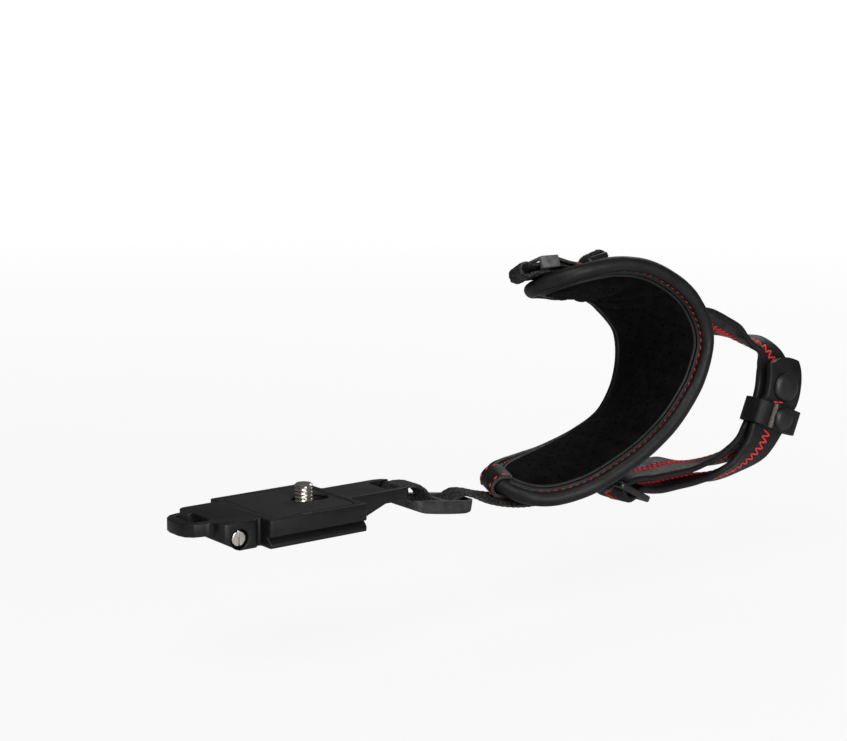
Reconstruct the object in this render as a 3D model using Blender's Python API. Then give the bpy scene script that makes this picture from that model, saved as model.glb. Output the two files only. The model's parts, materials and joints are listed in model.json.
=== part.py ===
"""Camera hand grip strap: a padded hand loop and a wrist loop on a slim base plate.

Blender 4.5, metres, +Z up. The origin is the middle of the camera seat, on top of the base plate.
+X points from the plate to the hand loop, and +Y away from the photographer, to the lens side.
Sizes below are in millimetres, and MM turns them into metres where a mesh is made.
"""
import math

import bmesh
import bpy
import numpy as np

MM = 0.001
GAP = 0.3                  # clearance between neighbouring pieces

# Base plate
PLATE_HEIGHT = 9.6
FOOT_LENGTH = 39.5         # dovetail foot along X
FOOT_WIDTH = 38.0          # dovetail flange across Y
FOOT_LIP = 1.4             # straight edge of the flange
FOOT_WAIST = 2.4           # depth of the dovetail groove on each side
PLATE_CORNER = 0.8
NECK_LENGTH = 2.0          # round groove between foot and end block
NECK_WIDTH = 26.0
BLOCK_LENGTH = 14.0
BLOCK_WIDTH = 28.8
BLOCK_CORNER = 3.0
RING_WIDTH = 17.4
RING_HEIGHT = 4.5
RING_WALL = 3.5
RING_CORNER = 6.0
RING_REACH = 9.5           # left ring, past the end block
ARM_LENGTH = 28.5          # right arm with its ring, past the foot
SLOT_LENGTH = 7.2          # strap slot of a ring, along X
SLOT_WIDTH = 12.0
SLOT_CORNER = 1.6
RAMP_LENGTH = 9.5          # left underside ramp
RAMP_START = 7.0           # left ramp starts this far inside the block's end
ARM_RAMP_START = 2.5       # right ramp starts this far past the foot
ARM_RAMP_LENGTH = 13.0
SADDLE_DEPTH = 1.9         # seat of the webbing on the right ring's outer wall

# Camera screw, its slot and clip, and the seat pad
SEAT_RECESS = 1.2
SEAT_MARGIN = 2.7
SEAT_CORNER = 2.5
SLOT_EDGE = 0.9            # rubber left between the screw's slot and the seat pad's edge
SCREW_TRAVEL = 5.0
SHANK_RADIUS = 3.175
SHANK_PLAY = 0.35
THREAD_REACH = 5.5         # above the seat
NECK_RADIUS = 2.3
HEAD_RADIUS = 6.0
HEAD_HEIGHT = 3.6
HEAD_PLAY = 0.6
COIN_SLOT_WIDTH = 1.5
COIN_SLOT_DEPTH = 1.6
CLIP_RADIUS = 4.2
CLIP_BORE = 2.65
CLIP_THICKNESS = 0.7
CLIP_POCKET = 1.4
END_SCREW_HEAD = 2.75
END_SCREW_HEAD_HEIGHT = 2.0
END_SCREW_SHANK = 1.9
END_SCREW_LENGTH = 9.0
END_SCREW_SINK = 0.5
END_SCREW_PLAY = 0.7
END_SCREW_DROP = 5.6       # below the seat
END_SCREW_SLOT = 0.7

# Hand pad: an ellipse in the flat, bent along PAD_ROUTE
PAD_HALF_WIDTH = 22.0      # to the piping
PAD_SAG = 3.0              # the middle stands this far nearer the hand than both long edges
PAD_ROLL = 2.8             # radius of the rolled border, half the pad's thickness
PAD_ROLL_REACH = 3.4       # from the piping to the middle of the roll
LEATHER = 1.0
LINING = 0.8
PANEL_INSET = 4.0          # flat panels are filled from this far inside the piping
PIPING_RADIUS = 0.6
PIPING_SEAT = 0.5          # middle of the bead above the suede, over its radius
TAB_WIDTH = 9.0
TAB_THICKNESS = 1.4
TAB_REACH = 12.0           # along the pad's outer face
TAB_RETURN = 3.0           # past the roll, on the suede side

# Webbing and plastic hardware
WEB_WIDTH = 10.0
WEB_THICKNESS = 1.3
TOP_SLIDER_LENGTH = 8.5
TOP_SLIDER_WIDTH = 15.0
TOP_SLIDER_HEIGHT = 4.5
TOP_SLIDER_BAR = 2.0       # each bar along the webbing
TOP_SLIDER_THIN = 1.1      # each bar's thickness
TOP_SLIDER_CORNER = 0.8
LOWER_SLIDER_LENGTH = 27.0
LOWER_SLIDER_WIDTH = 17.0
LOWER_SLIDER_HEIGHT = 4.5
LOWER_SLIDER_BAR = 3.4
LOWER_SLIDER_THIN = 1.5
LOWER_SLIDER_CORNER = 2.5
LOWER_SLIDER_SEWN = 6.0    # the webbing's sewn end lies this far inside the slider
UPPER_BUCKLE_REACH = 4.7   # from its middle to each bar
UPPER_BUCKLE_WIDTH = 17.0
UPPER_BUCKLE_HEIGHT = 2.3
UPPER_BUCKLE_BAR = 2.3
LOWER_BUCKLE_NEAR = 8.4    # from its middle bar to the webbing's bar
LOWER_BUCKLE_FAR = 7.8     # from its middle bar to the strap's last bar
LOWER_BUCKLE_WIDTH = 23.0
LOWER_BUCKLE_HEIGHT = 2.4
LOWER_BUCKLE_BAR = 2.0
BUCKLE_CORNER = 2.0
BAR_ROUND = 0.65           # reach of a tilted bar from its middle, over its height
BAND_WIDTH = 12.0
BAND_THICKNESS = 1.2

# Places along the pad, measured from its upper tip, on its outer side
WEB_SEWN = 8.0             # sewn end of the top webbing
TOP_SLIDER_AT = -0.5
LUG_TURN = -12.0           # the loop for the camera's strap lug
LUG_SHIFT = 5.0            # how far the loop stands to the near side
LUG_SHIFT_START = 8.0
LUG_LOOP_ROOM = 0.6        # the loop stands wider than the slider by this much on each side
UPPER_AT = 20.5
UPPER_TILT = 14.0          # degrees
STRAP_SEWN = 43.5          # start of the wrist strap

# Lower hardware
LOWER_SLIDER_AT = (62.4, 0, -9.9)
LOWER_SLIDER_SLOPE = 8.3   # degrees
LOWER_BUCKLE_AT = (150.5, -4.5, -16.0)   # its middle bar
LOWER_BUCKLE_SLOPE = 28.0  # degrees

# Wrist strap, keeper and snaps; places are measured along the strap from its sewn end
STRAP_WIDTH = 17.0
STRAP_THICKNESS = 2.8
STRAP_EDGE = 1.2           # rounding of its long edges
OUTER_SHIFT = 1.2          # the outer run stands this far to the far side
SNAP_ROOM = 2.8            # between the two runs where the snap closes
KEEPER_ROOM = 1.85          # between the two runs inside the keeper
SNAP_AT = 96.0
TAB_END_BULGE = 0.26       # height of the tab's round end over half its width
KEEPER_AT = 108.5
KEEPER_HEIGHT = 10.0
KEEPER_THICKNESS = 1.2
KEEPER_BEND = 2.0
KEEPER_TURN = 6.0          # degrees, its near end towards the sewn end of the strap
KEEPER_LEAN = 0.6          # room on both sides for its turn and for the outer run
KEEPER_PLAY = 0.35          # round the two runs
KEEPER_SNAP_ACROSS = 1.4
KEEPER_FLAP_END = -4.2
TAB_CAP_RADIUS = 5.9
KEEPER_CAP_RADIUS = 4.5
CAP_HEIGHT = 1.6
POST_RADIUS = 1.2
SOCKET_RADIUS = 3.7
SOCKET_HEIGHT = 1.0
STUD_FLANGE = 0.3
WASHER_RADIUS = 3.2
WASHER_THICKNESS = 0.6

TOP_SLIDER = {"length": TOP_SLIDER_LENGTH, "width": TOP_SLIDER_WIDTH, "height": TOP_SLIDER_HEIGHT,
              "bar": TOP_SLIDER_BAR, "thin": TOP_SLIDER_THIN, "corner": TOP_SLIDER_CORNER}
LOWER_SLIDER = {"length": LOWER_SLIDER_LENGTH, "width": LOWER_SLIDER_WIDTH, "height": LOWER_SLIDER_HEIGHT,
                "bar": LOWER_SLIDER_BAR, "thin": LOWER_SLIDER_THIN, "corner": LOWER_SLIDER_CORNER}
UPPER_BUCKLE = {"bars": (-UPPER_BUCKLE_REACH, UPPER_BUCKLE_REACH), "width": UPPER_BUCKLE_WIDTH,
                "height": UPPER_BUCKLE_HEIGHT, "bar": UPPER_BUCKLE_BAR, "corner": BUCKLE_CORNER}
LOWER_BUCKLE = {"bars": (-LOWER_BUCKLE_NEAR, 0.0, LOWER_BUCKLE_FAR), "width": LOWER_BUCKLE_WIDTH,
                "height": LOWER_BUCKLE_HEIGHT, "bar": LOWER_BUCKLE_BAR, "corner": BUCKLE_CORNER}

# Routes: centre point, then the direction across the piece
PAD_ROUTE = [
    ((110, -6, 63.6), (0.30, 1, -0.38)),
    ((119, -8, 64.6), (0.28, 1, -0.42)),
    ((132.5, -8.5, 64.6), (0.21, 1, -0.44)),
    ((147, -8, 61.3), (0.14, 1, -0.34)),
    ((159, -7, 53.5), (0.08, 1, -0.30)),
    ((167, -6, 41), (0.08, 1, -0.25)),
    ((165.8, -5.5, 27.0), (0.11, 1, -0.20)),
    ((158, -5.5, 15.2), (0.14, 1, -0.17)),
    ((145.5, -5.2, 7), (0.13, 1, -0.09)),
    ((132, -4.8, 1.4), (0.13, 1, 0.01)),
    ((118, -4.4, -2.7), (0.16, 1, 0.15)),
    ((104.5, -3.6, -4.4), (0.22, 1, 0.28)),
    ((95.5, -2.5, -3.5), (0.26, 1, 0.33)),
]
WRIST_FREE = [
    ((181, -5.5, 50.9), (0.15, 0.94, -0.27)),
    ((193.5, -5, 47.7), (0.22, 0.88, -0.38)),
    ((205.5, -4.5, 42), (0.32, 0.83, -0.45)),
    ((213, -4, 38.9), (0.44, 0.87, -0.24)),
    ((220, -5.4, 35.4), (0.70, 0.71, -0.06)),
    ((226, -8, 32.5), (0.90, 0.43, 0.05)),
    ((229, -10.5, 27.5), (0.98, 0.10, 0.10)),
    ((230, -12, 20.5), (0.98, -0.16, 0.03)),
    ((228.5, -12.3, 12.5), (0.97, -0.17, -0.15)),
    ((223.7, -12, 2), (0.93, -0.14, -0.34)),
    ((217.5, -10, -5.5), (0.92, 0.12, -0.36)),
    ((207.5, -6.4, -10.5), (0.77, 0.55, -0.33)),
    ((192.5, -3.8, -12.6), (0.32, 0.93, -0.19)),
    ((178, -4, -11.4), (0.15, 0.97, 0.15)),
    ((165, -4.3, -12.0), (0.10, 0.99, 0.08)),
]
LOWER_FREE = [
    ((48.6, 0, -0.9), (0, 1, 0)),
    ((53.5, 0, -1.9), (0, 1, 0)),
    ((57.5, 0, -5.2), (0, 1, 0)),
    ((59.9, 0, -9.3), (0, 1, 0)),
    ((62.4, 0, -10.9), (0, 1, 0)),
    ((65.8, 0, -10.9), (0, 1, 0)),
    ((70, 0, -8.9), (0, 1, 0)),
    ((74.5, 0, -7.6), (0, 1, 0.04)),
    ((78.5, -0.4, -8.4), (0, 1, 0.12)),
    ((84, -1.2, -10.5), (0, 1, 0.26)),
    ((93.2, -2.2, -12.9), (0, 1, 0.33)),
    ((104, -3, -14.4), (0, 1, 0.26)),
    ((118, -3.6, -13.4), (0, 1, 0.12)),
    ((132, -4.3, -10.6), (0, 1, 0.03)),
]
LOWER_TAIL = [
    ((138, -4.5, -14.5), (0, 1, 0)),
    ((131.5, -4.4, -14.0), (0, 1, 0.03)),
]
WRIST_RETURN = [
    ((168, -4.3, -18.0), (0.05, 1, 0.02)),
    ((178, -3.9, -17.9), (0.06, 1, 0.03)),
    ((190.5, -3.6, -18.0), (0.10, 1, -0.04)),
    ((203.5, -6.4, -17.9), (0.50, 0.77, -0.40)),
]
OUTER_RUN = [              # places along the inner run, across it and above it
    (131, 2.2, 5.4), (121, 0.5, 5.0), (112, -0.2, 4.4), (105.8, 0.1, 4.5),
    (101.4, 0.9, 5.58), (96, 1.2, 5.62), (91, 1.3, 5.6), (86, 1.4, 5.5),
]


def unit(vector):
    """The vector at length one."""
    vector = np.array(vector, float)
    return vector / np.linalg.norm(vector)


class Route:
    """A smooth line through chosen points, with a direction across it at every place."""

    def __init__(self, rows, steps=16):
        points = np.array([row[0] for row in rows], float)
        across = np.array([unit(row[1]) for row in rows])
        chord = np.linalg.norm(np.diff(points, axis=0), axis=1)
        knots = np.concatenate([[0], np.cumsum(chord)])
        slopes = np.gradient(points, knots, axis=0)
        lean = np.gradient(across, knots, axis=0)
        line, side = [], []
        for i, step in enumerate(chord):
            for k in range(steps):
                line.append(hermite(points[i:i + 2], slopes[i:i + 2], step, k / steps))
                side.append(hermite(across[i:i + 2], lean[i:i + 2], step, k / steps))
        line.append(points[-1])
        side.append(across[-1])
        self.line = np.array(line)
        self.side = np.array(side)
        run = np.linalg.norm(np.diff(self.line, axis=0), axis=1)
        self.reach = np.concatenate([[0], np.cumsum(run)])
        self.length = self.reach[-1]
        self.ahead = np.gradient(self.line, self.reach, axis=0)

    def frame(self, s):
        """Centre, direction along, direction across and outward normal at distance s."""
        inside = min(max(s, 0), self.length)
        centre, ahead, side = (
            np.array([np.interp(inside, self.reach, table[:, axis]) for axis in range(3)])
            for table in (self.line, self.ahead, self.side))
        ahead = unit(ahead)
        side = unit(side - ahead * side.dot(ahead))
        return centre + ahead * (s - inside), ahead, side, np.cross(ahead, side)

    def at(self, s, across=0.0, out=0.0):
        """The point at distance s, moved across and outward."""
        centre, _, side, normal = self.frame(s)
        return centre + side * across + normal * out


def hermite(ends, slopes, step, t):
    """A cubic between two points with the given slopes."""
    return ((2 * t ** 3 - 3 * t ** 2 + 1) * ends[0] + (t ** 3 - 2 * t ** 2 + t) * step * slopes[0]
            + (3 * t ** 2 - 2 * t ** 3) * ends[1] + (t ** 3 - t ** 2) * step * slopes[1])


def material(name, colour, roughness, metallic=0.0):
    """A Principled material."""
    finish = bpy.data.materials.new(name)
    finish.use_nodes = True
    shader = finish.node_tree.nodes["Principled BSDF"]
    shader.inputs["Base Color"].default_value = (*colour, 1)
    shader.inputs["Roughness"].default_value = roughness
    shader.inputs["Metallic"].default_value = metallic
    finish.diffuse_color = (*colour, 1)
    return finish


def mesh_object(name, points, faces, finish, smooth=35):
    """One closed mesh from points in millimetres, with its faces turned outward."""
    mesh = bpy.data.meshes.new(name)
    mesh.from_pydata([tuple(float(c) * MM for c in point) for point in points], [], faces)
    shape = bmesh.new()
    shape.from_mesh(mesh)
    bmesh.ops.remove_doubles(shape, verts=shape.verts, dist=0.001 * MM)
    bmesh.ops.recalc_face_normals(shape, faces=shape.faces)
    shape.to_mesh(mesh)
    shape.free()
    mesh.shade_smooth()
    mesh.set_sharp_from_angle(angle=math.radians(smooth))
    mesh.materials.append(finish)
    piece = bpy.data.objects.new(name, mesh)
    bpy.context.collection.objects.link(piece)
    return piece


def rounded(corners, steps=4):
    """An outline from corners (x, y, radius), with each corner turned into an arc."""
    outline = []
    count = len(corners)
    for i, (x, y, radius) in enumerate(corners):
        corner = np.array([x, y], float)
        if radius <= 0:
            outline.append(corner)
            continue
        before = unit(np.array(corners[i - 1][:2]) - corner)
        after = unit(np.array(corners[(i + 1) % count][:2]) - corner)
        half = math.acos(max(-1, min(1, before.dot(after)))) / 2
        centre = corner + unit(before + after) * radius / math.sin(half)
        start = corner + before * radius / math.tan(half) - centre
        end = corner + after * radius / math.tan(half) - centre
        first = math.atan2(start[1], start[0])
        turn = (math.atan2(end[1], end[0]) - first + math.pi) % (2 * math.pi) - math.pi
        for k in range(steps + 1):
            angle = first + turn * k / steps
            outline.append(centre + radius * np.array([math.cos(angle), math.sin(angle)]))
    return outline


def box_outline(x0, x1, y0, y1, radius, steps=4):
    """A rectangle with round corners."""
    return rounded([(x1, y1, radius), (x0, y1, radius), (x0, y0, radius), (x1, y0, radius)], steps)


def prism(name, outline, low, high, finish, axes="XYZ", place=None):
    """A flat outline pushed from low to high. axes names where its two directions and the push go."""
    order = ["XYZ".index(axis) for axis in axes]
    points = []
    for level in (low, high):
        for first, second in outline:
            point = np.zeros(3)
            point[order[0]], point[order[1]], point[order[2]] = first, second, level
            points.append(place(point) if place else point)
    count = len(outline)
    faces = [tuple(range(count)), tuple(range(count, 2 * count))]
    faces += [(i, (i + 1) % count, count + (i + 1) % count, count + i) for i in range(count)]
    return mesh_object(name, points, faces, finish)


def turned(name, profile, finish, sides=32, place=None):
    """A solid of revolution about Z from (radius, height) points, closed where a radius is zero."""
    points, rings = [], []
    for radius, height in profile:
        if radius == 0:
            rings.append([len(points)] * sides)
            points.append(np.array([0, 0, height], float))
            continue
        rings.append([len(points) + k for k in range(sides)])
        for k in range(sides):
            angle = 2 * math.pi * k / sides
            points.append(np.array([radius * math.cos(angle), radius * math.sin(angle), height]))
    closed = profile[0][0] > 0
    pairs = list(zip(rings, rings[1:])) + ([(rings[-1], rings[0])] if closed else [])
    faces = []
    for lower, upper in pairs:
        for k in range(sides):
            n = (k + 1) % sides
            corners = dict.fromkeys((lower[k], lower[n], upper[n], upper[k]))
            if len(corners) > 2:
                faces.append(tuple(corners))
    if place:
        points = [place(point) for point in points]
    return mesh_object(name, points, faces, finish)


def cut(piece, *cutters, operation="DIFFERENCE"):
    """Booleans on a piece. The cutters stay as hidden guides."""
    for cutter in cutters:
        modifier = piece.modifiers.new(cutter.name, "BOOLEAN")
        modifier.operation = operation
        modifier.solver = "EXACT"
        modifier.object = cutter
        cutter.hide_render = True
        cutter.display_type = "WIRE"


def strap_section(width, thickness, radius, steps=2):
    """A flat strip's cross-section with round corners."""
    return box_outline(-width / 2, width / 2, -thickness / 2, thickness / 2, radius, steps)


def ribbon(name, frames, section, finish):
    """Sweep a closed section (across, out) along frames and cap both ends."""
    points, faces = [], []
    size = len(section)
    for centre, _, side, normal in frames:
        points += [centre + side * across + normal * out for across, out in section]
    for row in range(len(frames) - 1):
        base = row * size
        for k in range(size):
            n = (k + 1) % size
            faces.append((base + k, base + n, base + size + n, base + size + k))
    faces.append(tuple(range(size)))
    faces.append(tuple(range(len(points) - size, len(points))))
    return mesh_object(name, points, faces, finish)


def sampled(route, longest=8.0, bend=16.0):
    """Frames along a route: one wherever it has run longest mm or turned or twisted by bend degrees."""
    frames = [route.frame(0)]
    limit = math.cos(math.radians(bend))
    last = 0
    for s in route.reach[1:-1]:
        frame = route.frame(s)
        turned_enough = min(frame[1].dot(frames[-1][1]), frame[2].dot(frames[-1][2])) < limit
        if s - last > longest or turned_enough:
            frames.append(frame)
            last = s
    if route.length - last < 0.2:
        frames.pop()
    return frames + [route.frame(route.length)]


def local_place(frame, tilt=0.0):
    """Turn (along, across, out) into a world point. tilt lifts the far end, in degrees."""
    centre, ahead, side, normal = frame
    angle = math.radians(tilt)
    forward = ahead * math.cos(angle) + normal * math.sin(angle)
    upward = normal * math.cos(angle) - ahead * math.sin(angle)
    return lambda point: centre + forward * point[0] + side * point[1] + upward * point[2]


# Base plate and its screws

FOOT_END = FOOT_LENGTH / 2
SCREW_X = FOOT_END - SEAT_MARGIN - GAP - SLOT_EDGE - GAP - CLIP_RADIUS - SCREW_TRAVEL
BLOCK_IN = -FOOT_END - NECK_LENGTH
BLOCK_OUT = BLOCK_IN - BLOCK_LENGTH
LEFT_TIP = BLOCK_OUT - RING_REACH
RIGHT_TIP = FOOT_END + ARM_LENGTH


def plate_outline():
    """The plate seen from above, one half listed and the other mirrored."""
    half = [
        (RIGHT_TIP, RING_WIDTH / 2, RING_CORNER),
        (FOOT_END, RING_WIDTH / 2, PLATE_CORNER),
        (FOOT_END, FOOT_WIDTH / 2, PLATE_CORNER),
        (-FOOT_END, FOOT_WIDTH / 2, PLATE_CORNER),
        (-FOOT_END, NECK_WIDTH / 2, PLATE_CORNER),
        (BLOCK_IN, NECK_WIDTH / 2, PLATE_CORNER),
        (BLOCK_IN, BLOCK_WIDTH / 2, PLATE_CORNER),
        (BLOCK_OUT, BLOCK_WIDTH / 2, BLOCK_CORNER),
        (BLOCK_OUT, RING_WIDTH / 2, 2.4),
        (LEFT_TIP, RING_WIDTH / 2, RING_CORNER),
    ]
    return rounded(half + [(x, -y, radius) for x, y, radius in reversed(half)], steps=3)


def side_outline():
    """The plate seen from the side: flat top, ramps below both rings."""
    left_low = BLOCK_OUT + RAMP_START
    right_low = FOOT_END + ARM_RAMP_START
    beyond = 5
    return [
        (LEFT_TIP - beyond, 0), (LEFT_TIP - beyond, -RING_HEIGHT),
        (left_low - RAMP_LENGTH, -RING_HEIGHT), (left_low, -PLATE_HEIGHT),
        (right_low, -PLATE_HEIGHT), (right_low + ARM_RAMP_LENGTH, -RING_HEIGHT),
        (RIGHT_TIP + beyond, -RING_HEIGHT), (RIGHT_TIP + beyond, 0),
    ]


def dovetail_groove(side):
    """The cut above the dovetail flange on one side of the foot."""
    edge = FOOT_WIDTH / 2
    lip_top = -PLATE_HEIGHT + FOOT_LIP
    outline = [(side * (edge + 2), lip_top), (side * edge, lip_top),
               (side * (edge - FOOT_WAIST), lip_top + FOOT_WAIST), (side * (edge + 2), lip_top + FOOT_WAIST)]
    name = "groove_cutter_near" if side < 0 else "groove_cutter_far"
    return prism(name, outline, -FOOT_END - NECK_LENGTH / 2, FOOT_END + 1, METAL, axes="YZX")


def slot_cutter(name, radius, low, high, steps=8):
    """A slot with round ends along the camera screw's travel."""
    outline = box_outline(SCREW_X - radius, SCREW_X + SCREW_TRAVEL + radius, -radius, radius, radius, steps)
    return prism(name, outline, low, high, METAL)


def ring_slot(name, tip, inward):
    """The strap slot of one ring, RING_WALL inside its tip."""
    ends = sorted((tip + inward * RING_WALL, tip + inward * (RING_WALL + SLOT_LENGTH)))
    outline = box_outline(*ends, -SLOT_WIDTH / 2, SLOT_WIDTH / 2, SLOT_CORNER, 3)
    return prism(name, outline, -PLATE_HEIGHT, 1, METAL)


def base_plate():
    """The aluminium plate: foot, end block, two strap rings, slots and recesses."""
    plate = prism("base_plate", plate_outline(), -PLATE_HEIGHT - 1, 0, METAL)
    wide = FOOT_WIDTH
    cut(plate, prism("side_guide", side_outline(), -wide, wide, METAL, axes="XZY"), operation="INTERSECT")
    seat = box_outline(-FOOT_END + SEAT_MARGIN, FOOT_END - SEAT_MARGIN,
                       -FOOT_WIDTH / 2 + SEAT_MARGIN, FOOT_WIDTH / 2 - SEAT_MARGIN, SEAT_CORNER)
    pocket_floor = -SEAT_RECESS - CLIP_POCKET
    head_roof = -PLATE_HEIGHT + HEAD_HEIGHT + 2 * GAP
    saddle = [(RIGHT_TIP - RING_WALL - 1, -SLOT_WIDTH / 2), (RIGHT_TIP + 1, -SLOT_WIDTH / 2),
              (RIGHT_TIP + 1, SLOT_WIDTH / 2), (RIGHT_TIP - RING_WALL - 1, SLOT_WIDTH / 2)]
    cut(plate,
        dovetail_groove(-1), dovetail_groove(1),
        ring_slot("left_slot_cutter", LEFT_TIP, 1),
        ring_slot("right_slot_cutter", RIGHT_TIP, -1),
        prism("saddle_cutter", saddle, -SADDLE_DEPTH, 1, METAL),
        prism("seat_cutter", seat, -SEAT_RECESS, 1, METAL),
        slot_cutter("clip_pocket_cutter", CLIP_RADIUS + GAP, pocket_floor, 1),
        slot_cutter("shank_slot_cutter", SHANK_RADIUS + SHANK_PLAY, -PLATE_HEIGHT - 1, 1),
        slot_cutter("head_slot_cutter", HEAD_RADIUS + HEAD_PLAY, -PLATE_HEIGHT - 1, head_roof),
        turned("end_screw_cutter", [
            (0, -1), (END_SCREW_HEAD + END_SCREW_PLAY, -1),
            (END_SCREW_HEAD + END_SCREW_PLAY, END_SCREW_SINK + END_SCREW_HEAD_HEIGHT + GAP),
            (END_SCREW_SHANK + GAP, END_SCREW_SINK + END_SCREW_HEAD_HEIGHT + GAP),
            (END_SCREW_SHANK + GAP, END_SCREW_SINK + END_SCREW_HEAD_HEIGHT + END_SCREW_LENGTH + 1),
            (0, END_SCREW_SINK + END_SCREW_HEAD_HEIGHT + END_SCREW_LENGTH + 1),
        ], METAL, 24, into_block))
    return plate


def into_block(point):
    """Put a turned shape's axis along +Y, starting at the end block's near face."""
    x, y, height = point
    return np.array([BLOCK_OUT + BLOCK_LENGTH / 2 + x, -BLOCK_WIDTH / 2 + height, -END_SCREW_DROP + y])


def seat_pad():
    """The rubber inlay, flush with the plate's top and open over the screw's slot."""
    edge = FOOT_END - SEAT_MARGIN - GAP
    wide = FOOT_WIDTH / 2 - SEAT_MARGIN - GAP
    pad = prism("seat_pad", box_outline(-edge, edge, -wide, wide, SEAT_CORNER - GAP), -SEAT_RECESS + GAP, 0, RUBBER)
    cut(pad, slot_cutter("seat_slot_cutter", CLIP_RADIUS + GAP, -2 * SEAT_RECESS, 1))
    return pad


def camera_screw():
    """The quarter-inch screw: coin head below, neck for the clip, thread above the seat."""
    head_top = -PLATE_HEIGHT + GAP + HEAD_HEIGHT
    clip_low = -SEAT_RECESS - CLIP_POCKET + GAP
    neck_low, neck_high = clip_low - GAP, clip_low + CLIP_THICKNESS + GAP
    bottom = -PLATE_HEIGHT + GAP
    screw = turned("camera_screw", [
        (0, bottom), (HEAD_RADIUS - 0.5, bottom), (HEAD_RADIUS, bottom + 0.5), (HEAD_RADIUS, head_top),
        (SHANK_RADIUS, head_top), (SHANK_RADIUS, neck_low), (NECK_RADIUS, neck_low),
        (NECK_RADIUS, neck_high), (SHANK_RADIUS, neck_high), (SHANK_RADIUS, THREAD_REACH - 0.6),
        (SHANK_RADIUS - 0.6, THREAD_REACH), (0, THREAD_REACH),
    ], STEEL, 32, lambda point: point + np.array([SCREW_X, 0, 0]))
    half = COIN_SLOT_WIDTH / 2
    outline = [(SCREW_X - half, -HEAD_RADIUS - 1), (SCREW_X + half, -HEAD_RADIUS - 1),
               (SCREW_X + half, HEAD_RADIUS + 1), (SCREW_X - half, HEAD_RADIUS + 1)]
    cut(screw, prism("coin_slot_cutter", outline, bottom - 1, bottom + COIN_SLOT_DEPTH, STEEL))
    return screw


def screw_clip():
    """The ring in the screw's neck, which slides with it above the plate's web."""
    low = -SEAT_RECESS - CLIP_POCKET + GAP
    return turned("screw_clip", [
        (CLIP_BORE, low), (CLIP_RADIUS, low), (CLIP_RADIUS, low + CLIP_THICKNESS),
        (CLIP_BORE, low + CLIP_THICKNESS),
    ], STEEL, 32, lambda point: point + np.array([SCREW_X, 0, 0]))


def end_screw():
    """The bright slotted screw in the end block's near face."""
    front, back = END_SCREW_SINK, END_SCREW_SINK + END_SCREW_HEAD_HEIGHT
    screw = turned("end_screw", [
        (0, front), (END_SCREW_HEAD - 0.3, front), (END_SCREW_HEAD, front + 0.3), (END_SCREW_HEAD, back),
        (END_SCREW_SHANK, back), (END_SCREW_SHANK, back + END_SCREW_LENGTH), (0, back + END_SCREW_LENGTH),
    ], STEEL, 24, into_block)
    half = END_SCREW_SLOT / 2
    high = END_SCREW_HEAD + 1
    outline = [(-half, -high), (half, -high), (half, high), (-half, high)]
    cut(screw, prism("end_slot_cutter", outline, front - 1, front + 0.8, STEEL, place=into_block))
    return screw


# Hand pad

PAD = Route(PAD_ROUTE)
PAD_SEAM_POINTS = 22       # points along each long side
PAD_COLUMNS = 6            # strips across a flat panel
PAD_FACET = 0.15           # room for the flat facets of the pad and of what lies on it
OUTER_FACE = 2 * PAD_ROLL  # the pad's outer face above its suede


def pad_point(along, across, height):
    """A place on the bent pad: it curves outward towards both long edges."""
    centre, _, side, normal = PAD.frame(along)
    share = min(max(along / PAD.length, 0), 1)
    rise = PAD_SAG * ((across / PAD_HALF_WIDTH) ** 2 - 4 * share * (1 - share))
    slope = 2 * PAD_SAG * across / PAD_HALF_WIDTH ** 2
    return centre + side * across + normal * rise + unit(normal - side * slope) * height


def flat_ring(offset):
    """The pad's outline in the flat (along, across), offset outward from the piping."""
    half_length = PAD.length / 2
    ring = []
    for k in range(2 * PAD_SEAM_POINTS):
        angle = math.pi * k / PAD_SEAM_POINTS
        cosine, sine = math.cos(angle), math.sin(angle)
        normal = unit((-cosine * PAD_HALF_WIDTH, -sine * half_length))
        ring.append((half_length * (1 - cosine) + offset * normal[0],
                     -PAD_HALF_WIDTH * sine + offset * normal[1]))
    return ring


def ring_faces(first, second, size):
    """The band of faces between two rings that start at the given point numbers."""
    return [(first + k, first + (k + 1) % size, second + (k + 1) % size, second + k) for k in range(size)]


def panel_faces(points, base, offset, height):
    """Fill the ring that starts at base with strips across the pad. New points go on the list."""
    ring = flat_ring(offset)
    half = len(ring) // 2
    rows = []
    for k in range(1, half):
        start, end = np.array(ring[k]), np.array(ring[-k])
        row = [base + k]
        for column in range(1, PAD_COLUMNS):
            row.append(len(points))
            points.append(pad_point(*(start + (end - start) * column / PAD_COLUMNS), height))
        rows.append(row + [base + len(ring) - k])
    faces = []
    for tip, row in ((base, rows[0]), (base + half, rows[-1])):
        faces += [(tip, left, right) for left, right in zip(row, row[1:])]
    for near, far in zip(rows, rows[1:]):
        faces += [(near[j], near[j + 1], far[j + 1], far[j]) for j in range(PAD_COLUMNS)]
    return faces


def capped_pad(name, profile, finish):
    """A closed solid from rings (offset, height), the first and last filled across the pad."""
    points, faces = [], []
    for offset, height in profile:
        points += [pad_point(along, across, height) for along, across in flat_ring(offset)]
    size = 2 * PAD_SEAM_POINTS
    last = (len(profile) - 1) * size
    for base in range(0, last, size):
        faces += ring_faces(base, base + size, size)
    faces += panel_faces(points, 0, *profile[0])
    faces += panel_faces(points, last, *profile[-1])
    return mesh_object(name, points, faces, finish)


def roll_arc(radius, first, last, steps):
    """Ring rows round the middle of the rolled border, angles in degrees from outward."""
    rows = []
    for k in range(steps + 1):
        angle = math.radians(first + (last - first) * k / steps)
        rows.append((PAD_ROLL_REACH + radius * math.cos(angle), PAD_ROLL + radius * math.sin(angle)))
    return rows


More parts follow.
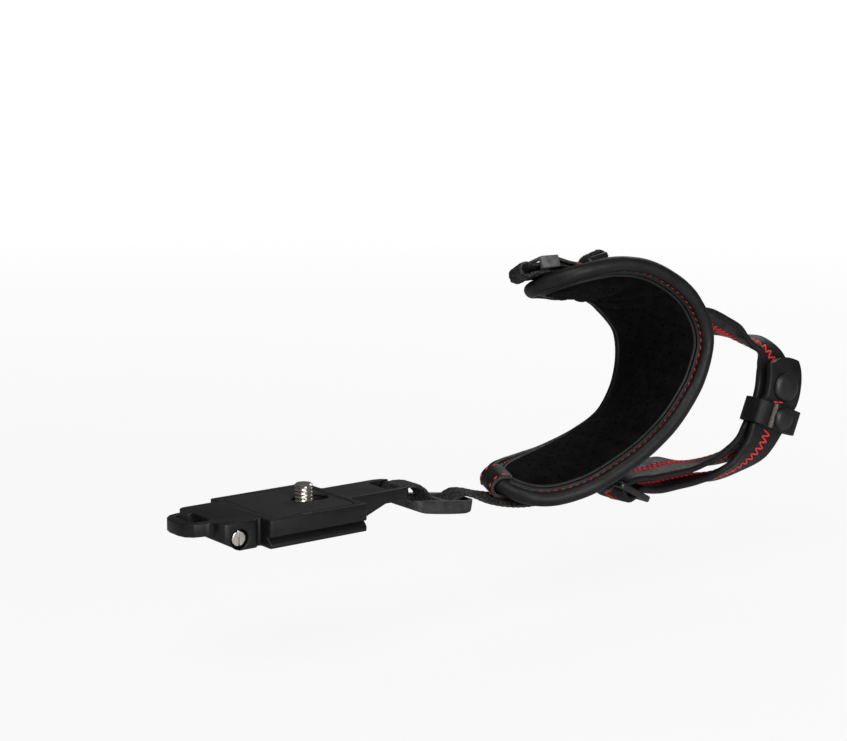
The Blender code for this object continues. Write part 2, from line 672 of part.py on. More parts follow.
def pad_cover():
    """The leather: outer face, rolled border and the lip that holds the piping."""
    lip_start = PIPING_RADIUS + GAP
    inner = PAD_ROLL - LEATHER
    return capped_pad("pad_cover", [
        (-PANEL_INSET, OUTER_FACE), *roll_arc(PAD_ROLL, 90, -90, 6), (lip_start, 0),
        (lip_start, LEATHER), *roll_arc(inner, -90, 90, 4), (-PANEL_INSET, OUTER_FACE - LEATHER),
    ], BLACK_LEATHER)


def pad_foam():
    """The foam that fills the cover behind the lining."""
    low, high = LEATHER + GAP, OUTER_FACE - LEATHER - GAP
    radius = (high - low) / 2
    return capped_pad("pad_foam", [
        (-PANEL_INSET, low), (PAD_ROLL_REACH, low), (PAD_ROLL_REACH + radius, PAD_ROLL),
        (PAD_ROLL_REACH, high), (-PANEL_INSET, high),
    ], FOAM)


def pad_lining():
    """The perforated suede, inside the piping."""
    edge = -PIPING_RADIUS - GAP
    return capped_pad("pad_lining", [(-PANEL_INSET, 0), (edge, 0), (edge, LINING), (-PANEL_INSET, LINING)], SUEDE)


def pad_piping():
    """The thin bead between suede and border: a closed loop."""
    sides = 6
    size = 2 * PAD_SEAM_POINTS
    points, faces = [], []
    for k in range(sides):
        angle = 2 * math.pi * k / sides
        height = PIPING_RADIUS * (PIPING_SEAT + math.sin(angle))
        points += [pad_point(along, across, height)
                   for along, across in flat_ring(PIPING_RADIUS * math.cos(angle))]
        faces += ring_faces(k * size, (k + 1) % sides * size, size)
    return mesh_object("pad_piping", points, faces, PIPING)


def pad_side(along, across):
    """The direction across the pad's surface at a place on it."""
    _, _, side, normal = PAD.frame(along)
    return unit(side + normal * 2 * PAD_SAG * across / PAD_HALF_WIDTH ** 2)


def pad_rows(rows):
    """Turn rows (along, across, height above the suede) into route rows that follow the pad."""
    return [(pad_point(*row), pad_side(row[0], row[1])) for row in rows]


def seat_rise(width):
    """How far the hollow outer face rises at the edges of a flat piece this wide."""
    return PAD_SAG * (width / 2 / PAD_HALF_WIDTH) ** 2 + PAD_FACET


def end_tab(name, tip, inward):
    """A leather tab that starts on the outer face and wraps one end's roll. inward is +1 or -1."""
    radius = PAD_ROLL + GAP + seat_rise(TAB_WIDTH) + TAB_THICKNESS / 2
    middle = tip - inward * PAD_ROLL_REACH
    rows = [(tip + inward * TAB_REACH * share, 0, PAD_ROLL + radius) for share in (1, 0.66, 0.33, 0)]
    for k in range(7):
        angle = math.radians(90 - 30 * k)
        rows.append((middle - inward * radius * math.cos(angle), 0, PAD_ROLL + radius * math.sin(angle)))
    rows.append((middle + inward * TAB_RETURN, 0, PAD_ROLL - radius))
    if inward > 0:
        rows.reverse()
    frames = sampled(Route(pad_rows(rows)), 4)
    return ribbon(name, frames, strap_section(TAB_WIDTH, TAB_THICKNESS, 0.4), BLACK_LEATHER)


# Sliders and buckles

def glide(name, size, place, end_bars):
    """A slider: two rails with three bars. end_bars says whether the end bars are high or low."""
    length, width, height = size["length"], size["width"], size["height"]
    bar, thin = size["bar"], size["thin"]
    body = prism(name, box_outline(-length / 2, length / 2, -width / 2, width / 2, size["corner"], 3),
                 -height / 2, height / 2, PLASTIC, place=place)
    edge, top, beyond, middle = length / 2, height / 2, 1.0, bar / 2
    outline = [
        (-edge - beyond, -top - beyond), (-middle, -top - beyond), (-middle, -top + thin), (middle, -top + thin),
        (middle, -top - beyond), (edge + beyond, -top - beyond), (edge + beyond, top - thin),
        (edge - bar, top - thin), (edge - bar, top + beyond), (-edge + bar, top + beyond),
        (-edge + bar, top - thin), (-edge - beyond, top - thin),
    ]
    if end_bars == "low":
        outline = [(along, -out) for along, out in reversed(outline)]
    reach = WEB_WIDTH / 2 + 2 * GAP

    def on_edge(point):
        return place((point[0], point[2], point[1]))

    cut(body, prism(name + "_cutter", outline, -reach, reach, PLASTIC, place=on_edge))
    return body


def ladder(name, size, place, window_width):
    """A flat buckle: a frame with windows between its bars."""
    bars, bar, height = size["bars"], size["bar"], size["height"]
    half = bar / 2
    outline = box_outline(bars[0] - half, bars[-1] + half, -size["width"] / 2, size["width"] / 2, size["corner"], 4)
    body = prism(name, outline, -height / 2, height / 2, PLASTIC, place=place)
    for count, (left, right) in enumerate(zip(bars, bars[1:])):
        window = box_outline(left + half, right - half, -window_width / 2, window_width / 2, 0.8, 2)
        cut(body, prism(f"{name}_window_{count}", window, -height, height, PLASTIC, place=place))
    return body


def level_frame(centre, slope):
    """A frame whose run falls along +X by slope degrees, with +Y across it."""
    angle = math.radians(slope)
    ahead = np.array([math.cos(angle), 0, -math.sin(angle)])
    side = np.array([0.0, 1, 0])
    return np.array(centre, float), ahead, side, np.cross(ahead, side)


# Top webbing, slider, band and upper buckle, placed on the pad

WEB_LOW = OUTER_FACE + GAP + seat_rise(WEB_WIDTH) + WEB_THICKNESS / 2
WEB_HIGH = WEB_LOW + WEB_THICKNESS / 2 + GAP + TOP_SLIDER["height"] / 2
UPPER_RUN = UPPER_BUCKLE["bars"][1] * math.cos(math.radians(UPPER_TILT))
UPPER_RISE = UPPER_BUCKLE["bars"][1] * math.sin(math.radians(UPPER_TILT))
UPPER_CLEAR = UPPER_BUCKLE["height"] * BAR_ROUND + GAP + WEB_THICKNESS / 2
UPPER_OUT = WEB_LOW + UPPER_CLEAR + UPPER_RISE
UPPER_PLACE = local_place((pad_point(UPPER_AT, 0, UPPER_OUT), *PAD.frame(UPPER_AT)[1:]), UPPER_TILT)


def lug_shift(along):
    """How far the top webbing stands to the near side on its way to the camera's lug."""
    share = min(max((LUG_SHIFT_START - along) / (LUG_SHIFT_START - LUG_TURN), 0), 1)
    return -LUG_SHIFT * share


def arc_rows(along, out, radius, angles):
    """Places (along, out) round a middle, at angles in degrees."""
    return [(along + radius * math.cos(math.radians(a)), out + radius * math.sin(math.radians(a)))
            for a in angles]


def top_rows():
    """The top webbing's route: sewn end, lug loop, slider, buckle and tail."""
    half = (WEB_HIGH - WEB_LOW) / 2 + LUG_LOOP_ROOM
    near, far = UPPER_AT - UPPER_RUN, UPPER_AT + UPPER_RUN
    rows = [(WEB_SEWN, WEB_LOW), (WEB_SEWN / 2, WEB_LOW), (-4, WEB_LOW), (LUG_TURN + 6, WEB_LOW)]
    rows += arc_rows(LUG_TURN + half, (WEB_LOW + WEB_HIGH) / 2, half, (-90, -135, -180, -225, -270))
    rows += [(LUG_TURN + 6, WEB_HIGH), (TOP_SLIDER_AT, WEB_HIGH), (TOP_SLIDER_AT + 5, WEB_HIGH - 0.1),
             (near - 6, WEB_LOW + 1.2)]
    tail = [(far + 5, WEB_LOW + 0.9), (far + 8.5, WEB_LOW), (far + 11, WEB_LOW)]
    first, second = ([(along, lug_shift(along), out) for along, out in part] for part in (rows, tail))
    first_bar, last_bar = UPPER_BUCKLE["bars"]
    bars = arc_rows(first_bar, 0, UPPER_CLEAR, (-112, -84, -56))
    bars += arc_rows(last_bar, 0, UPPER_CLEAR, (124, 96, 68, 38, 8, -22))
    side = PAD.frame(UPPER_AT)[2]
    return pad_rows(first) + [(UPPER_PLACE((along, 0, out)), side) for along, out in bars] + pad_rows(second)


TOP_RUN = Route(top_rows())


def nearest(route, point):
    """The distance along a route where it passes nearest to a point."""
    return route.reach[np.argmin(np.linalg.norm(route.line - point, axis=1))]


def top_webbing():
    """Sewn to the pad's outer face, round the camera's lug, back through slider and buckle."""
    section = strap_section(WEB_WIDTH, WEB_THICKNESS, 0.4, 1)
    return ribbon("top_webbing", sampled(TOP_RUN, 5), section, WEBBING)


def top_slider():
    """The slider that holds the top webbing's two layers together."""
    middle = pad_point(TOP_SLIDER_AT, lug_shift(TOP_SLIDER_AT), WEB_HIGH)
    return glide("top_slider", TOP_SLIDER, local_place(TOP_RUN.frame(nearest(TOP_RUN, middle))), "high")


def top_band():
    """The leather band over the webbing, between slider and buckle."""
    lift = WEB_THICKNESS / 2 + GAP + BAND_THICKNESS / 2
    first = nearest(TOP_RUN, pad_point(TOP_SLIDER_AT, lug_shift(TOP_SLIDER_AT), WEB_HIGH))
    last = nearest(TOP_RUN, pad_point(UPPER_AT - UPPER_RUN, 0, WEB_LOW))
    start, end = first + TOP_SLIDER["length"] / 2 + 0.8, last - UPPER_BUCKLE["bar"] / 2 - 1.4
    rows = [(TOP_RUN.at(s, 0, lift), TOP_RUN.frame(s)[2]) for s in np.linspace(start, end, 6)]
    frames = sampled(Route(rows), 4)
    return ribbon("top_band", frames, strap_section(BAND_WIDTH, BAND_THICKNESS, 0.3, 1), BLACK_LEATHER)


def upper_buckle():
    """The buckle on the pad's outer face, its far bar raised."""
    return ladder("upper_buckle", UPPER_BUCKLE, UPPER_PLACE, WEB_WIDTH + 1)


# Lower webbing, slider and buckle

LOWER_FRAME = level_frame(LOWER_BUCKLE_AT, LOWER_BUCKLE_SLOPE)
LOWER_PLACE = local_place(LOWER_FRAME)


def round_bar(bar, radius, angles):
    """Route rows round one bar of the lower buckle, at angles in degrees from its far end."""
    return [(LOWER_PLACE((along, 0, out)), (0, 1, 0)) for along, out in arc_rows(bar, 0, radius, angles)]


def lower_rows():
    """The lower webbing: from its sewn end round the right ring, through the slider, to the buckle."""
    wall = RIGHT_TIP - RING_WALL
    off = WEB_THICKNESS / 2 + GAP
    low, high = -RING_HEIGHT, -SADDLE_DEPTH
    x, _, z = LOWER_SLIDER_AT
    near_end = x - LOWER_SLIDER_LENGTH / 2
    loop = [(near_end + LOWER_SLIDER_SEWN, z + 1.3), (near_end + LOWER_SLIDER_SEWN - 3.9, z + 1.9),
            (wall + 2.4, low - off - 0.1), (wall - 0.5, low - off + 0.1), (wall - off - 0.1, low + 0.3),
            (wall - off - 0.1, high - 0.3), (wall - 0.5, high + off - 0.1), (wall + 1.6, high + off + 0.05)]
    rows = [((x, 0, z), (0, 1, 0)) for x, z in loop]
    turn = LOWER_BUCKLE["height"] / 2 + 2 * GAP + WEB_THICKNESS / 2
    around = round_bar(LOWER_BUCKLE["bars"][0], turn, (118, 80, 40, 0, -30, -62))
    return rows + LOWER_FREE + around + LOWER_TAIL


def lower_webbing():
    """The narrow webbing between the plate's right ring and the lower buckle."""
    return ribbon("lower_webbing", sampled(Route(lower_rows())), strap_section(WEB_WIDTH, WEB_THICKNESS, 0.4, 1),
                  WEBBING)


def lower_slider():
    """The long slider beside the right ring."""
    frame = level_frame(LOWER_SLIDER_AT, LOWER_SLIDER_SLOPE)
    return glide("lower_slider", LOWER_SLIDER, local_place(frame), "low")


def lower_buckle():
    """The buckle between the lower webbing and the wrist strap."""
    return ladder("lower_buckle", LOWER_BUCKLE, LOWER_PLACE, STRAP_WIDTH + 1)


# Wrist strap, keeper and snaps

def wrist_start():
    """The strap's end, sewn to the pad's outer face."""
    out = OUTER_FACE + GAP + seat_rise(STRAP_WIDTH) + STRAP_THICKNESS / 2
    return pad_rows([(STRAP_SEWN, 0, out), (STRAP_SEWN + 6, 0, out)])


def bar_turn():
    """The strap's way through the lower buckle: round the middle bar, then over the last one."""
    radius = LOWER_BUCKLE["height"] * BAR_ROUND + GAP + STRAP_THICKNESS / 2
    _, middle, last = LOWER_BUCKLE["bars"]
    cross = math.degrees(math.asin(2 * radius / (last - middle)))
    return (round_bar(middle, radius, (126, 160, 195, 232, 270 + cross * 0.5, 270 + cross))
            + round_bar(last, radius, (90 + cross, 90 + cross / 2, 90)))


INNER_RUN = Route(wrist_start() + WRIST_FREE)


def outer_rows():
    """The outer run where it lies on the inner run, from below the keeper to the tab's end."""
    return [(INNER_RUN.at(*place), INNER_RUN.frame(place[0])[2]) for place in OUTER_RUN]


def snap_place(at, across, base):
    """Where a snap's own (x, y, height) lies: across the strap, height along its outward normal."""
    centre, ahead, side, normal = INNER_RUN.frame(at)
    origin = centre + side * across + normal * base
    return lambda point: origin + ahead * point[0] + side * point[1] + normal * point[2]


def hole_cutter(name, place, low, high):
    """A small round cutter for a snap's post."""
    radius = POST_RADIUS + GAP
    return turned(name, [(0, low), (radius, low), (radius, high), (0, high)], CAP, 12, place)


def tab_end_cutter(route):
    """What is cut off beside the tab's round end."""
    centre, ahead, side, normal = route.frame(route.length)
    half = STRAP_WIDTH / 2
    outline = [(half * math.sin(math.radians(a)), half * (math.cos(math.radians(a)) - 1) * TAB_END_BULGE)
               for a in range(-90, 91, 15)]
    outline = [(half + 1, -half * TAB_END_BULGE)] + [(half + 1, 2), (-half - 1, 2)] + \
        [(-half - 1, -half * TAB_END_BULGE)] + outline

    def place(point):
        return centre + side * point[0] + ahead * point[1] + normal * point[2]

    return prism("tab_end_cutter", outline, -STRAP_THICKNESS, STRAP_THICKNESS, BLACK_LEATHER, place=place)


def wrist_strap():
    """One leather strap: inner run, turn at the buckle, outer run and tab."""
    route = Route(wrist_start() + WRIST_FREE + bar_turn() + WRIST_RETURN + outer_rows())
    section = strap_section(STRAP_WIDTH, STRAP_THICKNESS, STRAP_EDGE, 2)
    strap = ribbon("wrist_strap", sampled(route), section, BLACK_LEATHER)
    reach = 2 * STRAP_THICKNESS + SNAP_ROOM
    cut(strap, hole_cutter("tab_hole_cutter", snap_place(SNAP_AT, OUTER_SHIFT, 0), -reach, reach),
        tab_end_cutter(route))
    return strap


def cap_profile(radius, post_end):
    """A domed snap cap with its post, the dome's flat side at zero."""
    return [(0, CAP_HEIGHT), (radius * 0.45, CAP_HEIGHT * 0.93), (radius * 0.8, CAP_HEIGHT * 0.66),
            (radius, CAP_HEIGHT * 0.2), (radius, 0), (POST_RADIUS, 0), (POST_RADIUS, post_end), (0, post_end)]


def tab_snap():
    """Cap and socket on the tab, stud and post on the inner run."""
    skin = STRAP_THICKNESS / 2
    cap_base = skin + SNAP_ROOM + STRAP_THICKNESS + GAP
    socket_top = skin + SNAP_ROOM - GAP
    socket_low = socket_top - SOCKET_HEIGHT
    bore = POST_RADIUS + GAP
    stud_base = skin + GAP
    place = snap_place(SNAP_AT, OUTER_SHIFT, 0)
    post_end = socket_low + 0.6 * SOCKET_HEIGHT
    turned("tab_snap_cap", [(r, z + cap_base) for r, z in cap_profile(TAB_CAP_RADIUS, post_end - cap_base)],
           CAP, 24, place)
    turned("tab_snap_socket", [(bore, socket_low), (SOCKET_RADIUS, socket_low), (SOCKET_RADIUS, socket_top),
                               (bore, socket_top)], CAP, 20, place)
    turned("tab_snap_stud", [(0, stud_base), (SOCKET_RADIUS, stud_base), (SOCKET_RADIUS, stud_base + STUD_FLANGE),
                             (POST_RADIUS, stud_base + STUD_FLANGE), (POST_RADIUS, post_end - GAP),
                             (0, post_end - GAP)], CAP, 20, place)
    turned("tab_snap_post", [(0, skin), (POST_RADIUS, skin), (POST_RADIUS, -skin - GAP),
                             (SOCKET_RADIUS, -skin - GAP), (SOCKET_RADIUS, -skin - GAP - STUD_FLANGE),
                             (0, -skin - GAP - STUD_FLANGE)], CAP, 20, place)


KEEPER_BACK = -STRAP_THICKNESS / 2 - 2 * KEEPER_PLAY - KEEPER_THICKNESS / 2
KEEPER_WASHER = STRAP_THICKNESS * 1.5 + KEEPER_ROOM + KEEPER_PLAY
KEEPER_FRONT = KEEPER_WASHER + WASHER_THICKNESS + GAP + KEEPER_THICKNESS / 2
KEEPER_FLAP = KEEPER_FRONT + KEEPER_THICKNESS + GAP


def keeper_place(across):
    """The keeper's own (along, across, out), turned a little on the strap and moved across it."""
    centre, ahead, side, normal = INNER_RUN.frame(KEEPER_AT)
    turn = math.radians(KEEPER_TURN)
    ahead, side = ahead * math.cos(turn) + side * math.sin(turn), side * math.cos(turn) - ahead * math.sin(turn)
    return local_place((centre + side * across, ahead, side, normal))


def keeper():
    """One leather strip wrapped round both runs, its flap lying on its own start."""
    right = STRAP_WIDTH / 2 + KEEPER_LEAN + KEEPER_PLAY + KEEPER_THICKNESS / 2
    left = -right
    bend = KEEPER_BEND
    path = [
        (right - bend - 1.2, KEEPER_FRONT), (0, KEEPER_FRONT), (left + bend, KEEPER_FRONT),
        (left + bend * 0.3, KEEPER_FRONT - bend * 0.3), (left, KEEPER_FRONT - bend),
        (left, KEEPER_BACK + bend), (left + bend * 0.3, KEEPER_BACK + bend * 0.3), (left + bend, KEEPER_BACK),
        (0, KEEPER_BACK), (right - bend, KEEPER_BACK), (right - bend * 0.3, KEEPER_BACK + bend * 0.3),
        (right, KEEPER_BACK + bend), (right, KEEPER_FLAP - bend), (right - bend * 0.3, KEEPER_FLAP - bend * 0.3),
        (right - bend, KEEPER_FLAP), (KEEPER_SNAP_ACROSS, KEEPER_FLAP), (KEEPER_FLAP_END, KEEPER_FLAP),
    ]
    place = keeper_place(0)
    ahead = unit(place((1, 0, 0)) - place((0, 0, 0)))
    rows = [(place((0, across, out)), ahead) for across, out in path]
    strip = ribbon("keeper", sampled(Route(rows)), strap_section(KEEPER_HEIGHT, KEEPER_THICKNESS, 0.3, 1),
                   BLACK_LEATHER)
    place = keeper_place(KEEPER_SNAP_ACROSS)
    cut(strip, hole_cutter("keeper_hole_cutter", place, KEEPER_WASHER, KEEPER_FLAP + KEEPER_THICKNESS))
    return strip


def keeper_snap():
    """The keeper's small cap, with a washer below its two layers."""
    place = keeper_place(KEEPER_SNAP_ACROSS)
    base = KEEPER_FLAP + KEEPER_THICKNESS / 2 + GAP
    post_end = KEEPER_WASHER + WASHER_THICKNESS / 2
    turned("keeper_snap_cap", [(r, z + base) for r, z in cap_profile(KEEPER_CAP_RADIUS, post_end - base)],
           CAP, 20, place)
    bore = POST_RADIUS + GAP
    turned("keeper_snap_washer", [(bore, KEEPER_WASHER), (WASHER_RADIUS, KEEPER_WASHER),
                                  (WASHER_RADIUS, KEEPER_WASHER + WASHER_THICKNESS),
                                  (bore, KEEPER_WASHER + WASHER_THICKNESS)], CAP, 16, place)


def build():
    """Make every piece."""
    base_plate()
    seat_pad()
    camera_screw()
    screw_clip()
    end_screw()
    pad_cover()
    pad_foam()
    pad_lining()
    pad_piping()
    end_tab("lower_tab", PAD.length, -1)
    top_webbing()
    top_slider()
    top_band()
    upper_buckle()
    lower_webbing()
    lower_slider()
    lower_buckle()
    wrist_strap()
    tab_snap()
    keeper()
    keeper_snap()


for old in list(bpy.data.objects):
    bpy.data.objects.remove(old, do_unlink=True)

METAL = material("black_anodised", (0.012, 0.012, 0.014), 0.38, 0.6)
STEEL = material("bright_steel", (0.62, 0.60, 0.56), 0.28, 1.0)
RUBBER = material("seat_rubber", (0.01, 0.01, 0.01), 0.9)
BLACK_LEATHER = material("black_leather", (0.022, 0.022, 0.025), 0.5)
SUEDE = material("suede", (0.004, 0.004, 0.004), 0.95)
FOAM = material("foam", (0.05, 0.05, 0.05), 1.0)
PIPING = material("piping", (0.03, 0.03, 0.03), 0.6)
PLASTIC = material("grey_plastic", (0.03, 0.03, 0.032), 0.45)
WEBBING = material("mesh_webbing", (0.02, 0.02, 0.02), 0.8)
CAP = material("snap_cap", (0.03, 0.03, 0.03), 0.35)

build()
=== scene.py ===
"""Looks of the camera hand grip strap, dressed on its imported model.

Sizes are in millimetres and become metres where a mesh is made. The origin, the axes and the routes
are those of the solids: +X from the base plate to the hand loop, +Y to the lens side, +Z up.
"""

import json
import logging
import math
from collections.abc import Callable, Sequence
from dataclasses import dataclass, field
from enum import Enum
from functools import cache

import bmesh
import bpy
import numpy as np
from mathutils import Matrix, Vector, noise
from mathutils.bvhtree import BVHTree

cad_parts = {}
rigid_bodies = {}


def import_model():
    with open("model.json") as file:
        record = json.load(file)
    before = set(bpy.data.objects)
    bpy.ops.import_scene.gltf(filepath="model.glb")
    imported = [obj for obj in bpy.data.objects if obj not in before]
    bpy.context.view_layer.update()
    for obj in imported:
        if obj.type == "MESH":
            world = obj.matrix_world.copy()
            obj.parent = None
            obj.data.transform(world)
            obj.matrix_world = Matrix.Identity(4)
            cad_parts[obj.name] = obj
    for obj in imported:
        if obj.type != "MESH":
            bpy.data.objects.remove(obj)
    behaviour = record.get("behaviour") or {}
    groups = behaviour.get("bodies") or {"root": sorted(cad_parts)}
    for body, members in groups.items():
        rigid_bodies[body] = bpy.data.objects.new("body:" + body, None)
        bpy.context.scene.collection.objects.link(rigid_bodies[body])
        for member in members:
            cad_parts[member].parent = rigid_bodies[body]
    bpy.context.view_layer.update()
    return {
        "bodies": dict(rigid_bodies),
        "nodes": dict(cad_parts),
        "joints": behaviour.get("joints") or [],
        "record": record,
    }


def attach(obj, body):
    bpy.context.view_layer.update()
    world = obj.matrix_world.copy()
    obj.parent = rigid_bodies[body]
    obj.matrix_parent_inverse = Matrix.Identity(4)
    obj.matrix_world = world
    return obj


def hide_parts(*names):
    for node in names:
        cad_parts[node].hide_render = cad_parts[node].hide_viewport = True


LOG = logging.getLogger("hand_strap")
MM = 0.001
GAP = 0.3
STRAP_BODY = "strap"
WEB_WIDTH = 10.0
WEB_THICKNESS = 1.3
STRAP_WIDTH = 17.0
STRAP_THICKNESS = 2.8
SEAM_GROOVE = 0.55
EDGE_ANGLE = 32.0
Row = tuple[Sequence[float], Sequence[float]]
Frame = tuple[np.ndarray, np.ndarray, np.ndarray, np.ndarray]
Place = Callable[[Sequence[float]], np.ndarray]
Outline = list[tuple[float, float]]

PAD_ROUTE: list[Row] = [
    ((110, -6, 63.6), (0.30, 1, -0.38)),
    ((119, -8, 64.6), (0.28, 1, -0.42)),
    ((132.5, -8.5, 64.6), (0.21, 1, -0.44)),
    ((147, -8, 61.3), (0.14, 1, -0.34)),
    ((159, -7, 53.5), (0.08, 1, -0.30)),
    ((167, -6, 41), (0.08, 1, -0.25)),
    ((165.8, -5.5, 27.0), (0.11, 1, -0.20)),
    ((158, -5.5, 15.2), (0.14, 1, -0.17)),
    ((145.5, -5.2, 7), (0.13, 1, -0.09)),
    ((132, -4.8, 1.4), (0.13, 1, 0.01)),
    ((118, -4.4, -2.7), (0.16, 1, 0.15)),
    ((104.5, -3.6, -4.4), (0.22, 1, 0.28)),
    ((95.5, -2.5, -3.5), (0.26, 1, 0.33)),
]
WRIST_FREE: list[Row] = [
    ((181, -5.5, 50.9), (0.15, 0.94, -0.27)),
    ((193.5, -5, 47.7), (0.22, 0.88, -0.38)),
    ((205.5, -4.5, 42), (0.32, 0.83, -0.45)),
    ((213, -4, 38.9), (0.44, 0.87, -0.24)),
    ((220, -5.4, 35.4), (0.70, 0.71, -0.06)),
    ((226, -8, 32.5), (0.90, 0.43, 0.05)),
    ((229, -10.5, 27.5), (0.98, 0.10, 0.10)),
    ((230, -12, 20.5), (0.98, -0.16, 0.03)),
    ((228.5, -12.3, 12.5), (0.97, -0.17, -0.15)),
    ((223.7, -12, 2), (0.93, -0.14, -0.34)),
    ((217.5, -10, -5.5), (0.92, 0.12, -0.36)),
    ((207.5, -6.4, -10.5), (0.77, 0.55, -0.33)),
    ((192.5, -3.8, -12.6), (0.32, 0.93, -0.19)),
    ((178, -4, -11.4), (0.15, 0.97, 0.15)),
    ((165, -4.3, -12.0), (0.10, 0.99, 0.08)),
]
WRIST_RETURN: list[Row] = [
    ((168, -4.3, -18.0), (0.05, 1, 0.02)),
    ((178, -3.9, -17.9), (0.06, 1, 0.03)),
    ((190.5, -3.6, -18.0), (0.10, 1, -0.04)),
    ((203.5, -6.4, -17.9), (0.50, 0.77, -0.40)),
]
OUTER_RUN: list[tuple[float, float, float]] = [
    (131, 2.2, 5.4), (121, 0.5, 5.0), (112, -0.2, 4.4), (105.8, 0.1, 4.5),
    (101.4, 0.9, 5.58), (96, 1.2, 5.62), (91, 1.3, 5.6), (86, 1.4, 5.5),
]
LOWER_FREE: list[Row] = [
    ((48.6, 0, -0.9), (0, 1, 0)),
    ((53.5, 0, -1.9), (0, 1, 0)),
    ((57.5, 0, -5.2), (0, 1, 0)),
    ((59.9, 0, -9.3), (0, 1, 0)),
    ((62.4, 0, -10.9), (0, 1, 0)),
    ((65.8, 0, -10.9), (0, 1, 0)),
    ((70, 0, -8.9), (0, 1, 0)),
    ((74.5, 0, -7.6), (0, 1, 0.04)),
    ((78.5, -0.4, -8.4), (0, 1, 0.12)),
    ((84, -1.2, -10.5), (0, 1, 0.26)),
    ((93.2, -2.2, -12.9), (0, 1, 0.33)),
    ((104, -3, -14.4), (0, 1, 0.26)),
    ((118, -3.6, -13.4), (0, 1, 0.12)),
    ((132, -4.3, -10.6), (0, 1, 0.03)),
]
LOWER_TAIL: list[Row] = [
    ((138, -4.5, -14.5), (0, 1, 0)),
    ((131.5, -4.4, -14.0), (0, 1, 0.03)),
]


class Face(Enum):
    """A strip's two faces. The value is the way that the face looks along the strip's normal."""

    OUTER = 1
    INNER = -1


def unit(vector: Sequence[float]) -> np.ndarray:
    """The vector at length one."""
    vector = np.array(vector, float)
    return vector / np.linalg.norm(vector)


def held(value: float) -> float:
    """The value, kept between 0 and 1."""
    return min(max(value, 0), 1)


def bell(off: float, reach: float) -> float:
    """1 in the middle, falling off smoothly about a reach away from it."""
    return math.exp(-(off / reach) ** 2)


def hermite(ends: np.ndarray, slopes: np.ndarray, step: float, t: float) -> np.ndarray:
    """A cubic between two points with the given slopes."""
    return ((2 * t ** 3 - 3 * t ** 2 + 1) * ends[0] + (t ** 3 - 2 * t ** 2 + t) * step * slopes[0]
            + (3 * t ** 2 - 2 * t ** 3) * ends[1] + (t ** 3 - t ** 2) * step * slopes[1])


class Route:
    """A smooth line through chosen points, with a direction across it at every place."""

    def __init__(self, rows: Sequence[Row], steps: int = 16) -> None:
        """Fit the line.

        Args:
            rows: Points in millimetres, each with the direction across the strip there.
            steps: Samples between two points.
        """
        points = np.array([row[0] for row in rows], float)
        across = np.array([unit(row[1]) for row in rows])
        chord = np.linalg.norm(np.diff(points, axis=0), axis=1)
        knots = np.concatenate([[0], np.cumsum(chord)])
        slopes = np.gradient(points, knots, axis=0)
        lean = np.gradient(across, knots, axis=0)
        line, side = [], []
        for i, step in enumerate(chord):
            for k in range(steps):
                line.append(hermite(points[i:i + 2], slopes[i:i + 2], step, k / steps))
                side.append(hermite(across[i:i + 2], lean[i:i + 2], step, k / steps))
        self.line = np.array([*line, points[-1]])
        self.side = np.array([*side, across[-1]])
        run = np.linalg.norm(np.diff(self.line, axis=0), axis=1)
        self.reach = np.concatenate([[0], np.cumsum(run)])
        self.length = float(self.reach[-1])
        self.ahead = np.gradient(self.line, self.reach, axis=0)

    def frame(self, s: float) -> Frame:
        """Centre, direction along, direction across and outward normal at distance s."""
        inside = min(max(s, 0.0), self.length)
        centre, ahead, side = (
            np.array([np.interp(inside, self.reach, table[:, axis]) for axis in range(3)])
            for table in (self.line, self.ahead, self.side))
        ahead = unit(ahead)
        side = unit(side - ahead * side.dot(ahead))
        return centre + ahead * (s - inside), ahead, side, np.cross(ahead, side)

    def at(self, s: float, across: float = 0.0, out: float = 0.0) -> np.ndarray:
        """The point at distance s, moved across and outward."""
        centre, _, side, normal = self.frame(s)
        return centre + side * across + normal * out

    def frames(self, step: float) -> list[Frame]:
        """Even frames from end to end, about one step apart."""
        count = max(2, round(self.length / step))
        return [self.frame(self.length * k / count) for k in range(count + 1)]

    def nearest(self, point: np.ndarray) -> float:
        """The distance along the route where it passes nearest to a point."""
        return float(self.reach[np.argmin(np.linalg.norm(self.line - point, axis=1))])


def local_place(frame: Frame, tilt: float = 0.0) -> Place:
    """A function that turns (along, across, out) into a world point.

    Args:
        frame: Where the local axes stand.
        tilt: How far the far end is lifted, in degrees.

    Returns:
        The function.
    """
    centre, ahead, side, normal = frame
    angle = math.radians(tilt)
    forward = ahead * math.cos(angle) + normal * math.sin(angle)
    upward = normal * math.cos(angle) - ahead * math.sin(angle)
    return lambda point: centre + forward * point[0] + side * point[1] + upward * point[2]


def arc(along: float, out: float, radius: float, angles: Sequence[float]) -> list[tuple[float, float]]:
    """Places (along, out) round a middle, at angles in degrees."""
    return [(along + radius * math.cos(math.radians(a)), out + radius * math.sin(math.radians(a)))
            for a in angles]


def map_range(tree: bpy.types.NodeTree, source: bpy.types.NodeSocket, low: float, high: float,
              first: float, second: float) -> bpy.types.NodeSocket:
    """Map a value from low..high to first..second in a node tree."""
    made = tree.nodes.new("ShaderNodeMapRange")
    for name, value in (("From Min", low), ("From Max", high), ("To Min", first), ("To Max", second)):
        made.inputs[name].default_value = value
    tree.links.new(source, made.inputs["Value"])
    return made.outputs["Result"]


